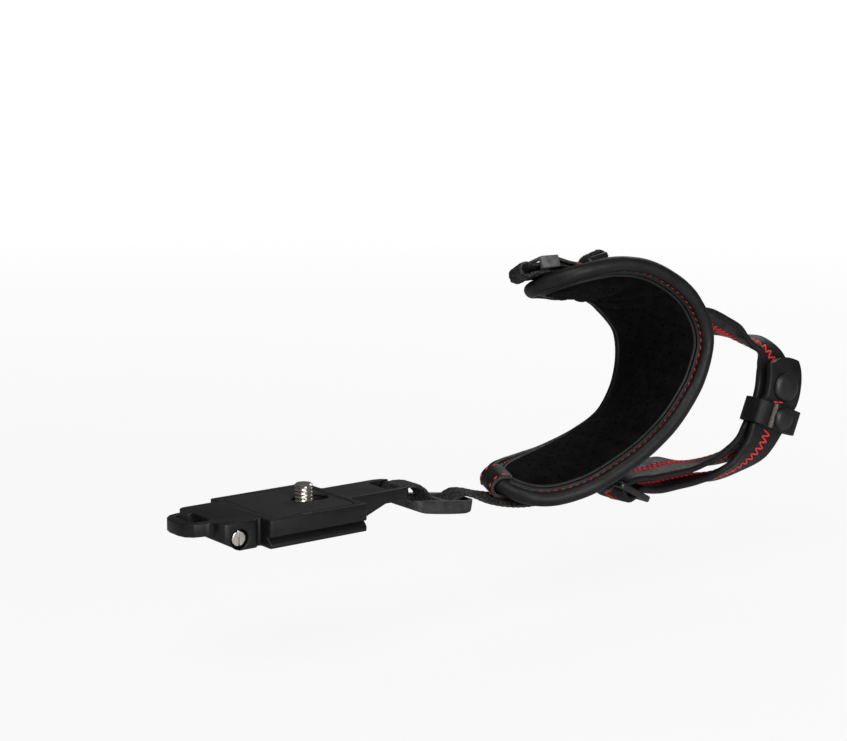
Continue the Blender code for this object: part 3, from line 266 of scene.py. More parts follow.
class Bench:
    """Adds and links the nodes of one material. Patterns are sized in millimetres."""

    def __init__(self, name: str) -> None:
        """Start a material with its shader.

        Args:
            name: The material's name.
        """
        self.material = bpy.data.materials.new(name)
        self.material.use_nodes = True
        self.nodes = self.material.node_tree.nodes
        self.links = self.material.node_tree.links
        self.shader = self.nodes["Principled BSDF"]
        self.where = self.nodes.new("ShaderNodeTexCoord").outputs["Object"]

    def set(self, **values: object) -> None:
        """Set the shader's own sockets, with spaces in their names written as underscores."""
        for key, value in values.items():
            self.shader.inputs[key.replace("_", " ")].default_value = value

    def noise(self, size: float, detail: float = 3.0, roughness: float = 0.55) -> bpy.types.NodeSocket:
        """Soft spots of about one size."""
        made = self.nodes.new("ShaderNodeTexNoise")
        made.inputs["Scale"].default_value = 1 / (size * MM)
        made.inputs["Detail"].default_value = detail
        made.inputs["Roughness"].default_value = roughness
        self.links.new(self.where, made.inputs["Vector"])
        return made.outputs["Fac"]

    def cells(self, size: float) -> bpy.types.NodeSocket:
        """Grain cells of about one size, as the distance from each cell's middle."""
        made = self.nodes.new("ShaderNodeTexVoronoi")
        made.feature = "SMOOTH_F1"
        made.inputs["Scale"].default_value = 1 / (size * MM)
        made.inputs["Smoothness"].default_value = 0.3
        self.links.new(self.where, made.inputs["Vector"])
        return made.outputs["Distance"]

    def spread(self, source: bpy.types.NodeSocket, low: float, high: float,
               first: float, second: float) -> bpy.types.NodeSocket:
        """Map a pattern from low..high to first..second."""
        return map_range(self.material.node_tree, source, low, high, first, second)

    def blend(self, source: bpy.types.NodeSocket, first: Sequence[float],
              second: Sequence[float]) -> bpy.types.NodeSocket:
        """Blend two colours by a pattern from 0 to 1."""
        made = self.nodes.new("ShaderNodeMix")
        made.data_type = "RGBA"
        made.inputs["A"].default_value = (*first, 1)
        made.inputs["B"].default_value = (*second, 1)
        self.links.new(source, made.inputs["Factor"])
        return made.outputs["Result"]

    def mottle(self, pattern: bpy.types.NodeSocket, low: float, high: float,
               dark: Sequence[float], light: Sequence[float]) -> None:
        """Colour the surface from dark to light, as a pattern goes from low to high."""
        tone = self.blend(self.spread(pattern, low, high, 0, 1), dark, light)
        self.links.new(tone, self.shader.inputs["Base Color"])

    def vary(self, pattern: bpy.types.NodeSocket, middle: float, swing: float) -> None:
        """Vary the roughness about a middle value by a pattern."""
        level = self.spread(pattern, 0.3, 0.7, middle - swing, middle + swing)
        self.links.new(level, self.shader.inputs["Roughness"])

    def bump(self, source: bpy.types.NodeSocket, depth: float) -> None:
        """Raise the surface by a pattern, on top of any bump made before."""
        made = self.nodes.new("ShaderNodeBump")
        made.inputs["Distance"].default_value = depth * MM
        self.links.new(source, made.inputs["Height"])
        earlier = self.shader.inputs["Normal"]
        if earlier.is_linked:
            self.links.new(earlier.links[0].from_socket, made.inputs["Normal"])
        self.links.new(made.outputs["Normal"], earlier)


@dataclass(frozen=True)
class Leather:
    """Black leather with a fine grain."""

    name: str = "strap_leather"
    dark: tuple[float, float, float] = (0.0066, 0.0066, 0.0074)
    light: tuple[float, float, float] = (0.0122, 0.0122, 0.0134)
    roughness: float = 0.46
    grain: float = 0.5
    depth: float = 0.05
    shine: float = 0.28

    @cache
    def material(self) -> bpy.types.Material:
        """The finish as a material."""
        bench = Bench(self.name)
        bench.set(Specular_IOR_Level=self.shine)
        bench.mottle(bench.noise(9.0), 0.35, 0.65, self.dark, self.light)
        bench.vary(bench.noise(3.0), self.roughness, 0.08)
        bench.bump(bench.cells(self.grain), self.depth)
        bench.bump(bench.noise(2.2, 4.0), self.depth * 2)
        return bench.material


@dataclass(frozen=True)
class Suede:
    """Near-black suede with a short nap."""

    name: str = "lining_suede"
    dark: tuple[float, float, float] = (0.0018, 0.0018, 0.0019)
    light: tuple[float, float, float] = (0.0054, 0.0053, 0.0052)

    @cache
    def material(self) -> bpy.types.Material:
        """The finish as a material."""
        bench = Bench(self.name)
        bench.mottle(bench.noise(5.0, 5.0), 0.4, 0.68, self.dark, self.light)
        bench.set(Roughness=0.95, Sheen_Weight=0.01, Sheen_Roughness=0.6, Specular_IOR_Level=0.06)
        bench.bump(bench.noise(0.35, 4.0, 0.7), 0.09)
        return bench.material


@dataclass(frozen=True)
class Thread:
    """Bright twisted sewing thread."""

    name: str = "red_thread"
    dark: tuple[float, float, float] = (0.60, 0.010, 0.014)
    light: tuple[float, float, float] = (0.98, 0.024, 0.030)

    @cache
    def material(self) -> bpy.types.Material:
        """The finish as a material."""
        bench = Bench(self.name)
        bench.mottle(bench.noise(0.35), 0.3, 0.7, self.dark, self.light)
        bench.set(Roughness=0.55, Sheen_Weight=0.2)
        bench.bump(bench.noise(0.18, 2.0), 0.05)
        return bench.material


@dataclass(frozen=True)
class RawEdge:
    """The cut edge of leather, with pale fibres."""

    name: str = "raw_leather_edge"
    dark: tuple[float, float, float] = (0.035, 0.033, 0.031)
    light: tuple[float, float, float] = (0.26, 0.22, 0.19)

    @cache
    def material(self) -> bpy.types.Material:
        """The finish as a material."""
        bench = Bench(self.name)
        fibre = bench.noise(0.8, 6.0, 0.8)
        bench.mottle(fibre, 0.38, 0.62, self.dark, self.light)
        bench.set(Roughness=0.95)
        bench.bump(fibre, 0.12)
        return bench.material


@dataclass(frozen=True)
class Webbing:
    """Dark woven yarn."""

    name: str = "webbing_yarn"
    dark: tuple[float, float, float] = (0.004, 0.004, 0.0043)
    light: tuple[float, float, float] = (0.062, 0.061, 0.059)

    @cache
    def material(self) -> bpy.types.Material:
        """The finish as a material."""
        bench = Bench(self.name)
        bench.mottle(bench.noise(0.7, 3.0), 0.46, 0.62, self.dark, self.light)
        bench.set(Roughness=0.7, Specular_IOR_Level=0.4)
        bench.bump(bench.noise(0.2, 3.0), 0.05)
        return bench.material


@dataclass(frozen=True)
class Plastic:
    """Moulded plastic with a fine matte skin."""

    name: str
    dark: tuple[float, float, float]
    light: tuple[float, float, float]
    roughness: float = 0.45
    shine: float = 0.5

    @cache
    def material(self) -> bpy.types.Material:
        """The finish as a material."""
        bench = Bench(self.name)
        bench.mottle(bench.noise(2.4, 5.0), 0.35, 0.65, self.dark, self.light)
        bench.set(Specular_IOR_Level=self.shine)
        bench.vary(bench.noise(1.0), self.roughness, 0.1)
        bench.bump(bench.noise(0.3, 3.0), 0.02)
        return bench.material


@dataclass(frozen=True)
class Metal:
    """Turned or anodised metal."""

    name: str
    dark: tuple[float, float, float]
    light: tuple[float, float, float]
    roughness: float
    metallic: float
    skin: float = 0.012

    @cache
    def material(self) -> bpy.types.Material:
        """The finish as a material."""
        bench = Bench(self.name)
        bench.mottle(bench.noise(4.0, 4.0), 0.35, 0.65, self.dark, self.light)
        bench.set(Metallic=self.metallic)
        bench.vary(bench.noise(1.5), self.roughness, 0.05)
        bench.bump(bench.noise(0.16, 2.0), self.skin)
        return bench.material


LEATHER = Leather()
PIPING = Leather("piping_leather", (0.0115, 0.0115, 0.0125), (0.020, 0.020, 0.0215), 0.42, 0.3, 0.02)
WORN_EDGE = RawEdge("worn_leather_edge", (0.018, 0.017, 0.016), (0.085, 0.075, 0.066))
SUEDE = Suede()
THREAD = Thread()
RAW_EDGE = RawEdge()
WEBBING = Webbing()
# The two sliders are one grey plastic: the lower one is painted darker as shade under the plate, the top one
# painted lighter as light on the upper fitting.
SHADED_SLIDER_PLASTIC = Plastic("slider_plastic", (0.015, 0.015, 0.015), (0.044, 0.043, 0.042), 0.5)
LIT_TOP_PLASTIC = Plastic("top_slider_plastic_painted_light", (0.085, 0.086, 0.088), (0.15, 0.15, 0.152), 0.5)
BUCKLE_PLASTIC = Plastic("buckle_plastic", (0.012, 0.012, 0.013), (0.021, 0.021, 0.0225), 0.32)
ANODISED = Metal("black_anodised_aluminium", (0.0095, 0.0095, 0.0105), (0.0145, 0.0145, 0.016), 0.40, 0.45)
BRIGHT_STEEL = Metal("bright_turned_steel", (0.62, 0.60, 0.56), (0.74, 0.72, 0.68), 0.24, 1.0, 0.004)
SNAP_METAL = Metal("satin_black_snap", (0.020, 0.020, 0.022), (0.028, 0.028, 0.030), 0.33, 0.35)
RUBBER = Plastic("seat_rubber", (0.010, 0.010, 0.010), (0.016, 0.016, 0.016), 0.85)
# Near-black discs on the suede: painted shade inside the perforation holes.
HOLE_PAINTED_SHADE = Plastic("perforation_painted_shade", (0.0004, 0.0004, 0.0004), (0.0008, 0.0008, 0.0008), 0.9, 0.0)
Finish = Leather | Suede | Thread | RawEdge | Webbing | Plastic | Metal


def shade(mesh: bpy.types.Mesh, sharp: float) -> None:
    """Shade a mesh smooth, except at edges that turn more than this many degrees."""
    mesh.shade_smooth()
    mesh.set_sharp_from_angle(angle=math.radians(sharp))


@dataclass
class Shape:
    """A mesh in the making: points in millimetres, faces, and the finish number of each face."""

    points: list[np.ndarray] = field(default_factory=list)
    faces: list[tuple[int, ...]] = field(default_factory=list)
    marks: list[int] = field(default_factory=list)

    def add(self, points: Sequence[np.ndarray], faces: Sequence[tuple[int, ...]], mark: int = 0) -> None:
        """Append points and faces.

        Args:
            points: New points.
            faces: Faces that count from the first new point.
            mark: The finish number of these faces.
        """
        base = len(self.points)
        self.points += list(points)
        self.faces += [tuple(base + corner for corner in face) for face in faces]
        self.marks += [mark] * len(faces)

    def sweep(self, frames: Sequence[Frame], sections: Sequence[Outline],
              mark: Callable[[int, int], int] = lambda row, corner: 0) -> None:
        """Join one closed outline per frame and cap both ends.

        Args:
            frames: Where each outline stands.
            sections: The outlines (across, out), all with the same number of corners.
            mark: Gives the finish number of the face at a row and corner.
        """
        base, size = len(self.points), len(sections[0])
        for (centre, _, side, normal), section in zip(frames, sections):
            self.points += [centre + side * across + normal * out for across, out in section]
        for row in range(len(frames) - 1):
            for k in range(size):
                n = (k + 1) % size
                start = base + row * size
                self.faces.append((start + k, start + n, start + size + n, start + size + k))
                self.marks.append(mark(row, k))
        last = base + (len(frames) - 1) * size
        self.faces += [tuple(range(base, base + size)), tuple(range(last, last + size))]
        self.marks += [mark(0, -1), mark(len(frames) - 1, -1)]

    def bridge(self, first: int, second: int, size: int) -> None:
        """Join two closed rings of one size, each given by its first point."""
        self.faces += [(first + k, first + (k + 1) % size, second + (k + 1) % size, second + k)
                       for k in range(size)]
        self.marks += [0] * size

    def turn(self, profile: Outline, place: Place, sides: int = 48,
             groove: Callable[[float, float], float] = lambda angle, height: 0.0) -> None:
        """Add a solid of revolution about the local out axis.

        Args:
            profile: Points (radius, height).
            place: Turns local points into world points.
            sides: Points round each ring.
            groove: How much a radius is cut back at an angle and height.
        """
        rings: list[list[int]] = []
        for radius, height in profile:
            if radius == 0:
                rings.append([len(self.points)] * sides)
                self.points.append(place((0, 0, height)))
                continue
            rings.append([len(self.points) + k for k in range(sides)])
            for k in range(sides):
                angle = 2 * math.pi * k / sides
                here = radius - groove(angle, height)
                self.points.append(place((here * math.cos(angle), here * math.sin(angle), height)))
        pairs = list(zip(rings, rings[1:]))
        if profile[0][0] > 0:
            pairs.append((rings[-1], rings[0]))
        for lower, upper in pairs:
            for k in range(sides):
                n = (k + 1) % sides
                corners = tuple(dict.fromkeys((lower[k], lower[n], upper[n], upper[k])))
                if len(corners) > 2:
                    self.faces.append(corners)
                    self.marks.append(0)

    def piece(self, name: str, finishes: Sequence[Finish], smooth: float = 40.0) -> bpy.types.Object:
        """Make the object.

        Args:
            name: The piece's name.
            finishes: One finish for each finish number.
            smooth: Edges that turn more than this many degrees stay sharp.

        Returns:
            The new object, with its faces turned outward.
        """
        mesh = bpy.data.meshes.new(name)
        mesh.from_pydata([tuple(float(c) * MM for c in point) for point in self.points], [], self.faces)
        for finish in finishes:
            mesh.materials.append(finish.material())
        mesh.polygons.foreach_set("material_index", self.marks)
        work = bmesh.new()
        work.from_mesh(mesh)
        bmesh.ops.remove_doubles(work, verts=work.verts, dist=0.0005 * MM)
        bmesh.ops.recalc_face_normals(work, faces=work.faces)
        work.to_mesh(mesh)
        work.free()
        shade(mesh, smooth)
        made = bpy.data.objects.new(name, mesh)
        bpy.context.collection.objects.link(made)
        return made


def fit(piece: bpy.types.Object, *nodes: str, slot: str = "", body: str = STRAP_BODY) -> bpy.types.Object:
    """Tie a piece to its body and report it.

    Args:
        piece: The finished piece.
        nodes: The solids that it stands for.
        slot: The record's material slot; not used.
        body: The body that it rides on.

    Returns:
        The same piece.
    """
    if nodes:
        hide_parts(*nodes)
    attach(piece, body)
    LOG.info("%s: %d faces", piece.name, len(piece.data.polygons))
    return piece


@dataclass
class Stitch:
    """One stitch or hole: its middle, the way it runs, the way it faces and its length."""

    middle: np.ndarray
    way: np.ndarray
    up: np.ndarray
    span: float


class Sewing:
    """Geometry Nodes that set one small shape on every point of a mesh."""

    def __init__(self, name: str, round_hole: bool = False) -> None:
        """Build the tree.

        Args:
            name: The tree's name.
            round_hole: Whether the small shape is a flat round disc, whose dark finish is painted shade
                inside a hole, and not a stitch.
        """
        self.tree = bpy.data.node_groups.new(name, "GeometryNodeTree")
        face = self.tree.interface
        self.sockets = {}
        for label, kind in (("Geometry", "NodeSocketGeometry"), ("Radius", "NodeSocketFloat"),
                            ("Finish", "NodeSocketMaterial")):
            self.sockets[label] = face.new_socket(label, in_out="INPUT", socket_type=kind).identifier
        face.new_socket("Geometry", in_out="OUTPUT", socket_type="NodeSocketGeometry")
        self._build(round_hole)

    def _build(self, round_hole: bool) -> None:
        """Add and link the nodes."""
        nodes, links = self.tree.nodes, self.tree.links
        start, end = nodes.new("NodeGroupInput"), nodes.new("NodeGroupOutput")
        fields = {}
        for name, kind in (("way", "FLOAT_VECTOR"), ("up", "FLOAT_VECTOR"), ("span", "FLOAT")):
            fields[name] = nodes.new("GeometryNodeInputNamedAttribute")
            fields[name].data_type = kind
            fields[name].inputs["Name"].default_value = name
        turn = nodes.new("FunctionNodeAxesToRotation")
        turn.primary_axis, turn.secondary_axis = "X", "Z"
        links.new(fields["way"].outputs["Attribute"], turn.inputs[0])
        links.new(fields["up"].outputs["Attribute"], turn.inputs[1])
        size = nodes.new("ShaderNodeCombineXYZ")
        if round_hole:
            # A flat disc with a dark finish stands for a hole: its colour is painted shade.
            shape = nodes.new("GeometryNodeMeshCylinder")
            shape.inputs["Vertices"].default_value = 12
            shape.inputs["Radius"].default_value = 1.0
            shape.inputs["Depth"].default_value = 0.4
            links.new(start.outputs["Radius"], size.inputs["X"])
        else:
            shape = nodes.new("GeometryNodeMeshUVSphere")
            shape.inputs["Segments"].default_value = 8
            shape.inputs["Rings"].default_value = 6
            shape.inputs["Radius"].default_value = 1.0
            links.new(fields["span"].outputs["Attribute"], size.inputs["X"])
        links.new(start.outputs["Radius"], size.inputs["Y"])
        links.new(start.outputs["Radius"], size.inputs["Z"])
        lay = nodes.new("GeometryNodeInstanceOnPoints")
        links.new(start.outputs["Geometry"], lay.inputs["Points"])
        links.new(shape.outputs["Mesh"], lay.inputs["Instance"])
        links.new(turn.outputs["Rotation"], lay.inputs["Rotation"])
        links.new(size.outputs["Vector"], lay.inputs["Scale"])
        real = nodes.new("GeometryNodeRealizeInstances")
        smooth = nodes.new("GeometryNodeSetShadeSmooth")
        smooth.inputs["Shade Smooth"].default_value = not round_hole
        paint = nodes.new("GeometryNodeSetMaterial")
        links.new(lay.outputs["Instances"], real.inputs["Geometry"])
        links.new(real.outputs["Geometry"], smooth.inputs[0])
        links.new(smooth.outputs[0], paint.inputs["Geometry"])
        links.new(start.outputs["Finish"], paint.inputs["Material"])
        links.new(paint.outputs["Geometry"], end.inputs["Geometry"])

    def piece(self, name: str, stitches: Sequence[Stitch], radius: float,
              finish: Finish) -> bpy.types.Object:
        """Set the small shape on every place and turn the result into a plain mesh.

        Args:
            name: The piece's name.
            stitches: Where the shapes stand.
            radius: The thread's or hole's radius.
            finish: The material.

        Returns:
            The new object.
        """
        mesh = bpy.data.meshes.new(name + "_places")
        mesh.from_pydata([tuple(s.middle * MM) for s in stitches], [], [])
        for label in ("way", "up"):
            layer = mesh.attributes.new(label, "FLOAT_VECTOR", "POINT")
            layer.data.foreach_set("vector", np.array([getattr(s, label) for s in stitches]).ravel())
        layer = mesh.attributes.new("span", "FLOAT", "POINT")
        layer.data.foreach_set("value", [s.span * MM / 2 for s in stitches])
        made = bpy.data.objects.new(name, mesh)
        bpy.context.collection.objects.link(made)
        modifier = made.modifiers.new("sewing", "NODES")
        modifier.node_group = self.tree
        modifier[self.sockets["Radius"]] = radius * MM
        modifier[self.sockets["Finish"]] = finish.material()
        made.data = applied(made)
        made.data.name = name
        return made


def running(line: Callable[[float], Frame], first: float, last: float, pitch: float, dash: float,
            slant: float = 0.0, face: Face = Face.OUTER) -> list[Stitch]:
    """A running seam.

    Args:
        line: Gives the frame on the surface at a distance.
        first: Where the seam starts.
        last: Where it ends.
        pitch: From one stitch to the next.
        dash: Length of one stitch.
        slant: How far each stitch leans across the seam, in degrees.
        face: Which way the seam looks along the line's normal.

    Returns:
        The stitches.
    """
    lean = math.tan(math.radians(slant))
    count = int((last - first) / pitch)
    made = []
    for k in range(count):
        centre, ahead, side, normal = line(first + (k + 0.5) * pitch)
        made.append(Stitch(centre, unit(ahead + side * lean), normal * face.value, dash))
    return made


def zigzag(line: Callable[[float], Frame], first: float, last: float, pitch: float, half: float,
           face: Face) -> list[Stitch]:
    """A zigzag seam on one face of a strip.

    Args:
        line: Gives the strip's frame on that face at a distance.
        first: Where the seam starts.
        last: Where it ends.
        pitch: Length of one full zigzag.
        half: How far it swings to each side.
        face: The strip's face.

    Returns:
        The stitches.
    """
    corners = []
    for k in range(int((last - first) / (pitch / 2)) + 1):
        centre, _, side, normal = line(first + k * pitch / 2)
        corners.append((centre + side * (half if k % 2 else -half), normal * face.value))
    return [Stitch((a + b) / 2, unit(b - a), up, float(np.linalg.norm(b - a)) * 1.04)
            for (a, up), (b, _) in zip(corners, corners[1:])]


def lifted(route: Route, out: float, across: float = 0.0) -> Callable[[float], Frame]:
    """The route's frames, moved outward and across."""
    def frame(s: float) -> Frame:
        """The moved frame at distance s."""
        centre, ahead, side, normal = route.frame(s)
        return centre + normal * out + side * across, ahead, side, normal
    return frame


def strip_section(width: float, thickness: float, edge: float, puff: float = 0.0, groove: float = 0.0,
                  columns: int = 14) -> Outline:
    """A leather strip's outline.

    Args:
        width: Across the strip.
        thickness: Through it.
        edge: Radius of its long edges.
        puff: How far each half swells.
        groove: Depth of the seam down its middle.
        columns: Points on each face.

    Returns:
        Corners (across, out), all the way round.
    """
    half, high = width / 2, thickness / 2
    flat = half - edge

    def face(across: float) -> float:
        """Height of the face at a place across it."""
        return high + puff * math.sin(math.pi * abs(across) / flat) - groove * bell(across, SEAM_GROOVE)

    spots = [flat * (1 - 2 * k / columns) for k in range(columns + 1)]
    side = [(flat + edge * math.cos(math.radians(a)), edge * math.sin(math.radians(a)) + (high - edge))
            for a in range(15, 90, 15)]
    upper = side + [(x, face(x)) for x in spots] + [(-x, y) for x, y in reversed(side)]
    return upper + [(-x, -y) for x, y in upper]


def scaled(section: Outline, across: float, out: float = 1.0) -> Outline:
    """An outline made narrower or thinner."""
    return [(x * across, y * out) for x, y in section]


def woven_strip(name: str, route: Route, pick: float = 2.4, rib: float = 1.67, relief: float = 0.26,
                step: float = 0.3, column: float = 0.36, border: float = 0.7) -> bpy.types.Object:
    """Webbing with its weave in the mesh.

    Args:
        name: The piece's name.
        route: The webbing's middle line.
        pick: Length of one crossing along it.
        rib: Width of one crossing across it.
        relief: Height of the weave.
        step: Distance between rows.
        column: Distance between columns, about.
        border: Width of the thinner edge.

    Returns:
        The new piece.
    """
    frames = route.frames(step)
    columns = round(WEB_WIDTH / column)
    half, high = WEB_WIDTH / 2, WEB_THICKNESS / 2
    across = [half * (1 - 2 * k / columns) for k in range(columns + 1)]
    sections = []
    for row in range(len(frames)):
        s = row * step
        top = []
        for x in across:
            twill = math.sin(2 * math.pi * (s / pick + 0.5 * math.floor(x / rib)))
            cord = abs(math.cos(math.pi * x / rib))
            lift = relief * (0.55 * twill + 0.45) * cord
            inside = half - abs(x)
            edge = max(0.0, 1 - (inside / border) ** 2) if inside < border else 0.0
            top.append((x, (high + lift) * (1 - 0.45 * edge)))
        sections.append(top + [(x, -out) for x, out in reversed(top)])
    shape = Shape()
    shape.sweep(frames, sections)
    return shape.piece(name, [WEBBING], 70)


def applied(piece: bpy.types.Object) -> bpy.types.Mesh:
    """The mesh that a piece's modifiers make. The modifiers are taken off."""
    graph = bpy.context.evaluated_depsgraph_get()
    graph.update()
    plain = bpy.data.meshes.new_from_object(piece.evaluated_get(graph), depsgraph=graph)
    piece.modifiers.clear()
    return plain


def softened(source: bpy.types.Object, name: str, finish: Finish, width: float, segments: int = 3,
             angle: float = 30.0) -> bpy.types.Object:
    """A copy of a solid with its sharp edges rounded.

    Args:
        source: The solid.
        name: The new piece's name.
        finish: Its material.
        width: How far each edge is rounded.
        segments: Steps of the rounding.
        angle: Edges that turn less than this many degrees are left alone.

    Returns:
        The new piece.
    """
    mesh = source.data.copy()
    mesh.transform(source.matrix_world)
    mesh.name = name
    work = bmesh.new()
    work.from_mesh(mesh)
    bmesh.ops.remove_doubles(work, verts=work.verts, dist=0.002 * MM)
    bmesh.ops.dissolve_limit(work, angle_limit=math.radians(1.0), verts=work.verts, edges=work.edges)
    bmesh.ops.recalc_face_normals(work, faces=work.faces)
    work.to_mesh(mesh)
    work.free()
    mesh.materials.clear()
    mesh.materials.append(finish.material())
    mesh.polygons.foreach_set("material_index", [0] * len(mesh.polygons))
    made = bpy.data.objects.new(name, mesh)
    bpy.context.collection.objects.link(made)
    bevel = made.modifiers.new("edges", "BEVEL")
    bevel.width = width * MM
    bevel.segments = segments
    bevel.limit_method = "ANGLE"
    bevel.angle_limit = math.radians(angle)
    bevel.use_clamp_overlap = False
    bevel.miter_outer = "MITER_ARC"
    made.data = applied(made)
    shade(made.data, EDGE_ANGLE)
    return made


def moulded(nodes: dict[str, bpy.types.Object], node: str, ending: str, finish: Finish, width: float,
            slot: str, body: str = STRAP_BODY, segments: int = 3) -> None:
    """Let a softened copy of one solid stand for it.

    Args:
        nodes: The solids by name.
        node: The solid's name.
        ending: What the new piece's name adds to it.
        finish: The piece's material.
        width: How far each edge is rounded.
        slot: The record's material slot.
        body: The body that it rides on.
        segments: Steps of the rounding.
    """
    fit(softened(nodes[node], f"{node}_{ending}", finish, width, segments), node, slot=slot, body=body)


@dataclass(frozen=True)
class PadForm:
    """The hand pad's form: an ellipse in the flat, bent along its route."""

    route: Route
    half_width: float = 22.0
    sag: float = 3.0
    roll: float = 2.8
    roll_reach: float = 3.4
    facet: float = 0.15

    @property
    def outer(self) -> float:
        """Height of the outer face above the suede."""
        return 2 * self.roll

    def point(self, along: float, across: float, height: float) -> np.ndarray:
        """A place on the bent pad, which curves outward towards both long edges."""
        centre, _, side, normal = self.route.frame(along)
        share = held(along / self.route.length)
        rise = self.sag * ((across / self.half_width) ** 2 - 4 * share * (1 - share))
        slope = 2 * self.sag * across / self.half_width ** 2
        return centre + side * across + normal * rise + unit(normal - side * slope) * height

    def side(self, along: float, across: float) -> np.ndarray:
        """The direction across the surface at a place on it."""
        _, _, side, normal = self.route.frame(along)
        return unit(side + normal * 2 * self.sag * across / self.half_width ** 2)

    def rows(self, places: Sequence[tuple[float, float, float]]) -> list[Row]:
        """Places (along, across, height) as route rows that follow the pad."""
        return [(self.point(*place), self.side(place[0], place[1])) for place in places]

    def spot(self, angle: float, offset: float) -> tuple[float, float]:
        """A place on the flat outline, at an angle from the upper tip, offset outward from the piping."""
        half_length = self.route.length / 2
        cosine, sine = math.cos(angle), math.sin(angle)
        normal = unit((-cosine * self.half_width, -sine * half_length))
        return (half_length * (1 - cosine) + offset * normal[0],
                -self.half_width * sine + offset * normal[1])

    def ring(self, offset: float, count: int) -> list[tuple[float, float]]:
        """The whole outline, count points along each long side."""
        return [self.spot(math.pi * k / count, offset) for k in range(2 * count)]

    def leaf(self, offset: float, count: int,
             columns: int) -> tuple[list[tuple[float, float]], list[tuple]]:
        """Strips across the inside of a ring.

        Args:
            offset: The ring's offset from the piping.
            count: Points along each long side.
            columns: Strips across the pad, finer towards its edges.

        Returns:
            Places (along, across) that start with the ring itself, and the faces between them.
        """
        ring = self.ring(offset, count)
        spots, rows = list(ring), []
        for k in range(1, count):
            start, end = np.array(ring[k]), np.array(ring[-k])
            row = [k]
            for column in range(1, columns):
                row.append(len(spots))
                spots.append(tuple(start + (end - start) * (1 - math.cos(math.pi * column / columns)) / 2))
            rows.append(row + [2 * count - k])
        faces = [(tip, left, right) for tip, row in ((0, rows[0]), (count, rows[-1]))
                 for left, right in zip(row, row[1:])]
        for near, far in zip(rows, rows[1:]):
            faces += [(near[j], near[j + 1], far[j + 1], far[j]) for j in range(columns)]
        return spots, faces

    def seam(self, offset: float, height: float, count: int = 120) -> Route:
        """A closed line round the pad. Its normal looks towards the hand."""
        rows = []
        for k in range(2 * count + 1):
            angle = math.pi * k / count
            outward = (self.point(*self.spot(angle, offset + 0.5), height)
                       - self.point(*self.spot(angle, offset - 0.5), height))
            rows.append((self.point(*self.spot(angle, offset), height), outward))
        return Route(rows, 2)

    def from_edge(self, along: float, across: float) -> float:
        """Distance inward from the piping."""
        a, b = self.route.length / 2, self.half_width
        x = along - a
        reach = math.hypot(x / a, across / b)
        if reach < 0.2:
            return b
        steep = math.hypot(x / a ** 2, across / b ** 2) / reach
        return (1 - reach) / steep

    def seat_rise(self, width: float) -> float:
        """How far the hollow outer face rises at the edges of a flat piece this wide."""
        return self.sag * (width / 2 / self.half_width) ** 2 + self.facet


def lump(point: Sequence[float], size: float) -> float:
    """Smooth random value from -1 to 1 at a place, with lumps of about one size."""
    return noise.noise(Vector(tuple(float(c) / size for c in point)))


